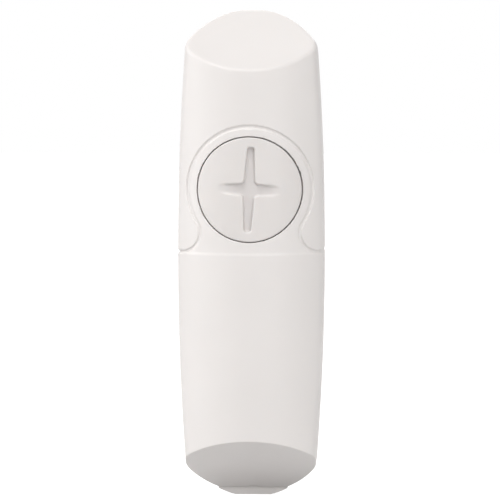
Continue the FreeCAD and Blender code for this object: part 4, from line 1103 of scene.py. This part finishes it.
tracks = {
    "board": -5.8,
    "proud": 0.035,
    "sunk": 0.01,          # how far tracks and rings start inside the board
    "width": 0.3,
    "ring": 0.32,
    "hole": 0.15,
    "sides": 16,
    # each run of (x, z) in millimetres
    "routes": [
        [(-2.4, 12.4), (-2.4, 12.0), (-4.0, 11.4)], [(-1.6, 12.4), (-1.6, 11.9), (-2.0, 11.4)],
        [(-0.8, 12.4), (-0.8, 12.0), (0.0, 11.4)], [(1.6, 12.4), (1.6, 11.9), (2.0, 11.4)],
        [(3.2, 12.4), (3.2, 12.1), (4.0, 11.4)],
        [(-4.0, 9.4), (-4.0, 8.2), (-4.7, 7.5)], [(-2.0, 9.4), (-2.0, 5.0), (-5.2, 1.8), (-5.2, 0.4)],
        [(0.0, 9.4), (0.0, 8.9), (4.2, 4.7), (4.2, 1.6), (5.0, 0.8), (6.0, 0.8)],
        [(2.0, 9.4), (2.0, 8.7), (3.6, 7.1), (4.9, 7.1)], [(4.0, 9.4), (4.0, 8.9), (10.9, 8.9), (10.9, 1.6)],
        [(-4.3, 13.8), (-4.9, 13.8), (-5.2, 14.1)], [(-4.3, 14.6), (-4.9, 14.6), (-5.2, 14.9)],
        [(-4.3, 15.4), (-4.7, 15.4), (-5.6, 16.3), (-5.6, 17.4), (-10.9, 17.4)],
        [(-4.3, 17.0), (-4.8, 17.0), (-5.2, 17.4), (-5.2, 24.6), (-4.6, 25.2), (-4.6, 26.4)],
        [(-4.3, 18.6), (-4.6, 18.9), (-4.6, 23.9), (-3.4, 25.1), (-3.4, 26.4)],
        [(5.1, 14.6), (5.3, 14.6), (5.3, 12.6), (9.4, 12.6), (9.4, 13.0)],
        [(5.1, 19.4), (5.6, 19.9), (7.3, 19.9), (7.3, 21.6)],
        [(5.1, 18.6), (5.7, 19.2), (8.6, 19.2), (9.6, 20.2), (9.6, 24.7)],
        [(-4.0, 23.4), (-4.0, 23.8), (-2.6, 25.2), (-2.3, 25.2)], [(0.0, 23.4), (0.0, 24.7)],
        [(2.0, 23.4), (2.0, 24.7)], [(4.0, 23.4), (4.0, 24.7)],
        [(-10.9, 17.4), (-10.9, 29.6), (-9.6, 30.9)], [(-11.0, 9.6), (-11.0, 11.0), (-10.0, 12.0)],
        [(-5.1, 30.6), (-6.0, 31.5), (-6.0, 34.6), (-3.6, 34.6)],
    ],
    # where a track goes through to the back: (x, z)
    "holes": [(-4.7, 7.5), (-10.9, 17.4), (10.9, 1.6), (6.0, 0.8), (-3.6, 34.6), (9.6, 24.5), (-5.2, 0.6)],
}


def ribbon(points, faces, route, half, back, front):
    # A flat strip along a route, with mitred corners
    line = np.array(route, float)
    runs = np.diff(line, axis=0)
    runs /= np.linalg.norm(runs, axis=1)[:, None]
    first = len(points)
    for number, point in enumerate(line):
        before, after = runs[max(number - 1, 0)], runs[min(number, len(runs) - 1)]
        across = np.array([-(before + after)[1], (before + after)[0]])
        across /= max(np.dot(across, np.array([-before[1], before[0]])), 1e-6)
        for side, y in itertools.product((-1, 1), (back, front)):
            x, z = point + across * side * half
            points.append((x, y, z))
    for number in range(len(line) - 1):
        n = first + number * 4
        faces += [(n, n + 4, n + 6, n + 2), (n + 1, n + 3, n + 7, n + 5),
                  (n, n + 1, n + 5, n + 4), (n + 2, n + 6, n + 7, n + 3)]
    last = first + (len(line) - 1) * 4
    faces += [(first, first + 2, first + 3, first + 1), (last, last + 1, last + 3, last + 2)]


def makeTracks():
    t = tracks
    points, faces = [], []
    for route in t["routes"]:
        ribbon(points, faces, route, t["width"] / 2, t["board"] + t["sunk"], t["board"] - t["proud"])
    piece = meshPiece("boardTracks", points, faces)
    piece.data.materials.append(paints["track"])
    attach(piece, "base")
    points, faces = [], []
    sides, back, front = t["sides"], t["sunk"], -t["proud"] - t["sunk"]
    for x, z in t["holes"]:
        first = len(points)
        for radius, y in ((t["ring"], back), (t["ring"], front), (t["hole"], front), (t["hole"], back)):
            for index in range(sides):
                turn = 2 * math.pi * index / sides
                points.append((x + radius * math.cos(turn), t["board"] + y, z + radius * math.sin(turn)))
        for row, index in itertools.product(range(4), range(sides)):
            other, after = (row + 1) % 4, (index + 1) % sides
            corners = ((row, index), (row, after), (other, after), (other, index))
            faces.append(tuple(first + sides * r + i for r, i in corners))
    rings = meshPiece("boardRings", points, faces)
    rings.data.materials.append(paints["tin"])
    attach(rings, "base")


# node: the piece's name, how far its edges are broken in mm, paint, slot and body
hardParts = {
    "base_tray": ("backPlate", 0.25, "tray", "base_plastic", "base"),
    "lock_cam": ("lockCam", 0.12, "steel", "plated_steel", "lock"),
    "lock_washer": ("lockWasher", 0.08, "steel", "plated_steel", "lock"),
    "lock_screw": ("lockScrew", 0.06, "steel", "plated_steel", "lock"),
    "lock_keeper": ("lockKeeper", 0.12, "steel", "plated_steel", "base"),
    "board_screws": ("boardScrews", 0.12, "steel", "plated_steel", "base"),
    "light_pipe": ("lightPipe", 0.08, "clear", "clear_plastic", "cover"),
    "battery_cradle": ("cellCradle", 0.20, "black", "black_plastic", "base"),
    "positive_contact": ("positiveContact", 0.06, "nickel", "nickel_strip", "base"),
    "negative_contact": ("negativeContact", 0.06, "nickel", "nickel_strip", "base"),
    "sensor_clamp": ("sensorClamp", 0.20, "grey", "grey_plastic", "base"),
    "piezo_beam": ("piezoBeam", 0.06, "brass", "yellow_metal", "base"),
    "seismic_weight": ("seismicWeight", 0.25, "brass", "yellow_metal", "base"),
    "shield_can": ("shieldCan", 0.12, "tin", "tin_plate", "base"),
    "controller_chip": ("controllerChip", 0.10, "black", "black_plastic", "base"),
    "crystal_can": ("crystalCan", 0.35, "tin", "tin_plate", "base"),
    "status_lamp": ("statusLamp", 0.15, "lamp", "lamp_lens", "base"),
    "tamper_body": ("tamperBody", 0.15, "black", "black_plastic", "base"),
    "tamper_plunger": ("tamperPlunger", 0.20, "grey", "grey_plastic", "tamper"),
    "learn_body": ("learnBody", 0.15, "black", "black_plastic", "base"),
    "learn_cap": ("learnCap", 0.20, "grey", "grey_plastic", "learn"),
    "trimmer_body": ("trimmerBody", 0.20, "blue", "blue_plastic", "base"),
    "trimmer_rotor": ("trimmerRotor", 0.10, "tray", "base_plastic", "trimmer"),
    "jumper_header": ("pinHeader", 0.15, "black", "black_plastic", "base"),
    "jumper_cap": ("jumperCap", 0.20, "black", "black_plastic", "base"),
}
# node: paint. These keep the frame's own mesh.
asTheyAre = {
    "circuit_board": "board", "radio_board": "board", "battery_lead": "lead", "antenna_wire": "tin",
    "tamper_dome": "nickel", "learn_dome": "nickel", "jumper_pins": "brass",
}


def makeInside():
    for node, (name, edge, paint, slot, body) in hardParts.items():
        dress(softened(node, name, edge), node, paint, body)
    for node, paint in asTheyAre.items():
        mesh = nodes[node].data
        for number in range(len(mesh.materials)):
            mesh.materials[number] = paints[paint]
    makeCell()
    makeCapacitor()
    makeChips()
    makeLegs()
    makeTracks()
    print("inside made:", len(hardParts), "hard parts,", len(asTheyAre), "as they are")


makeInside()
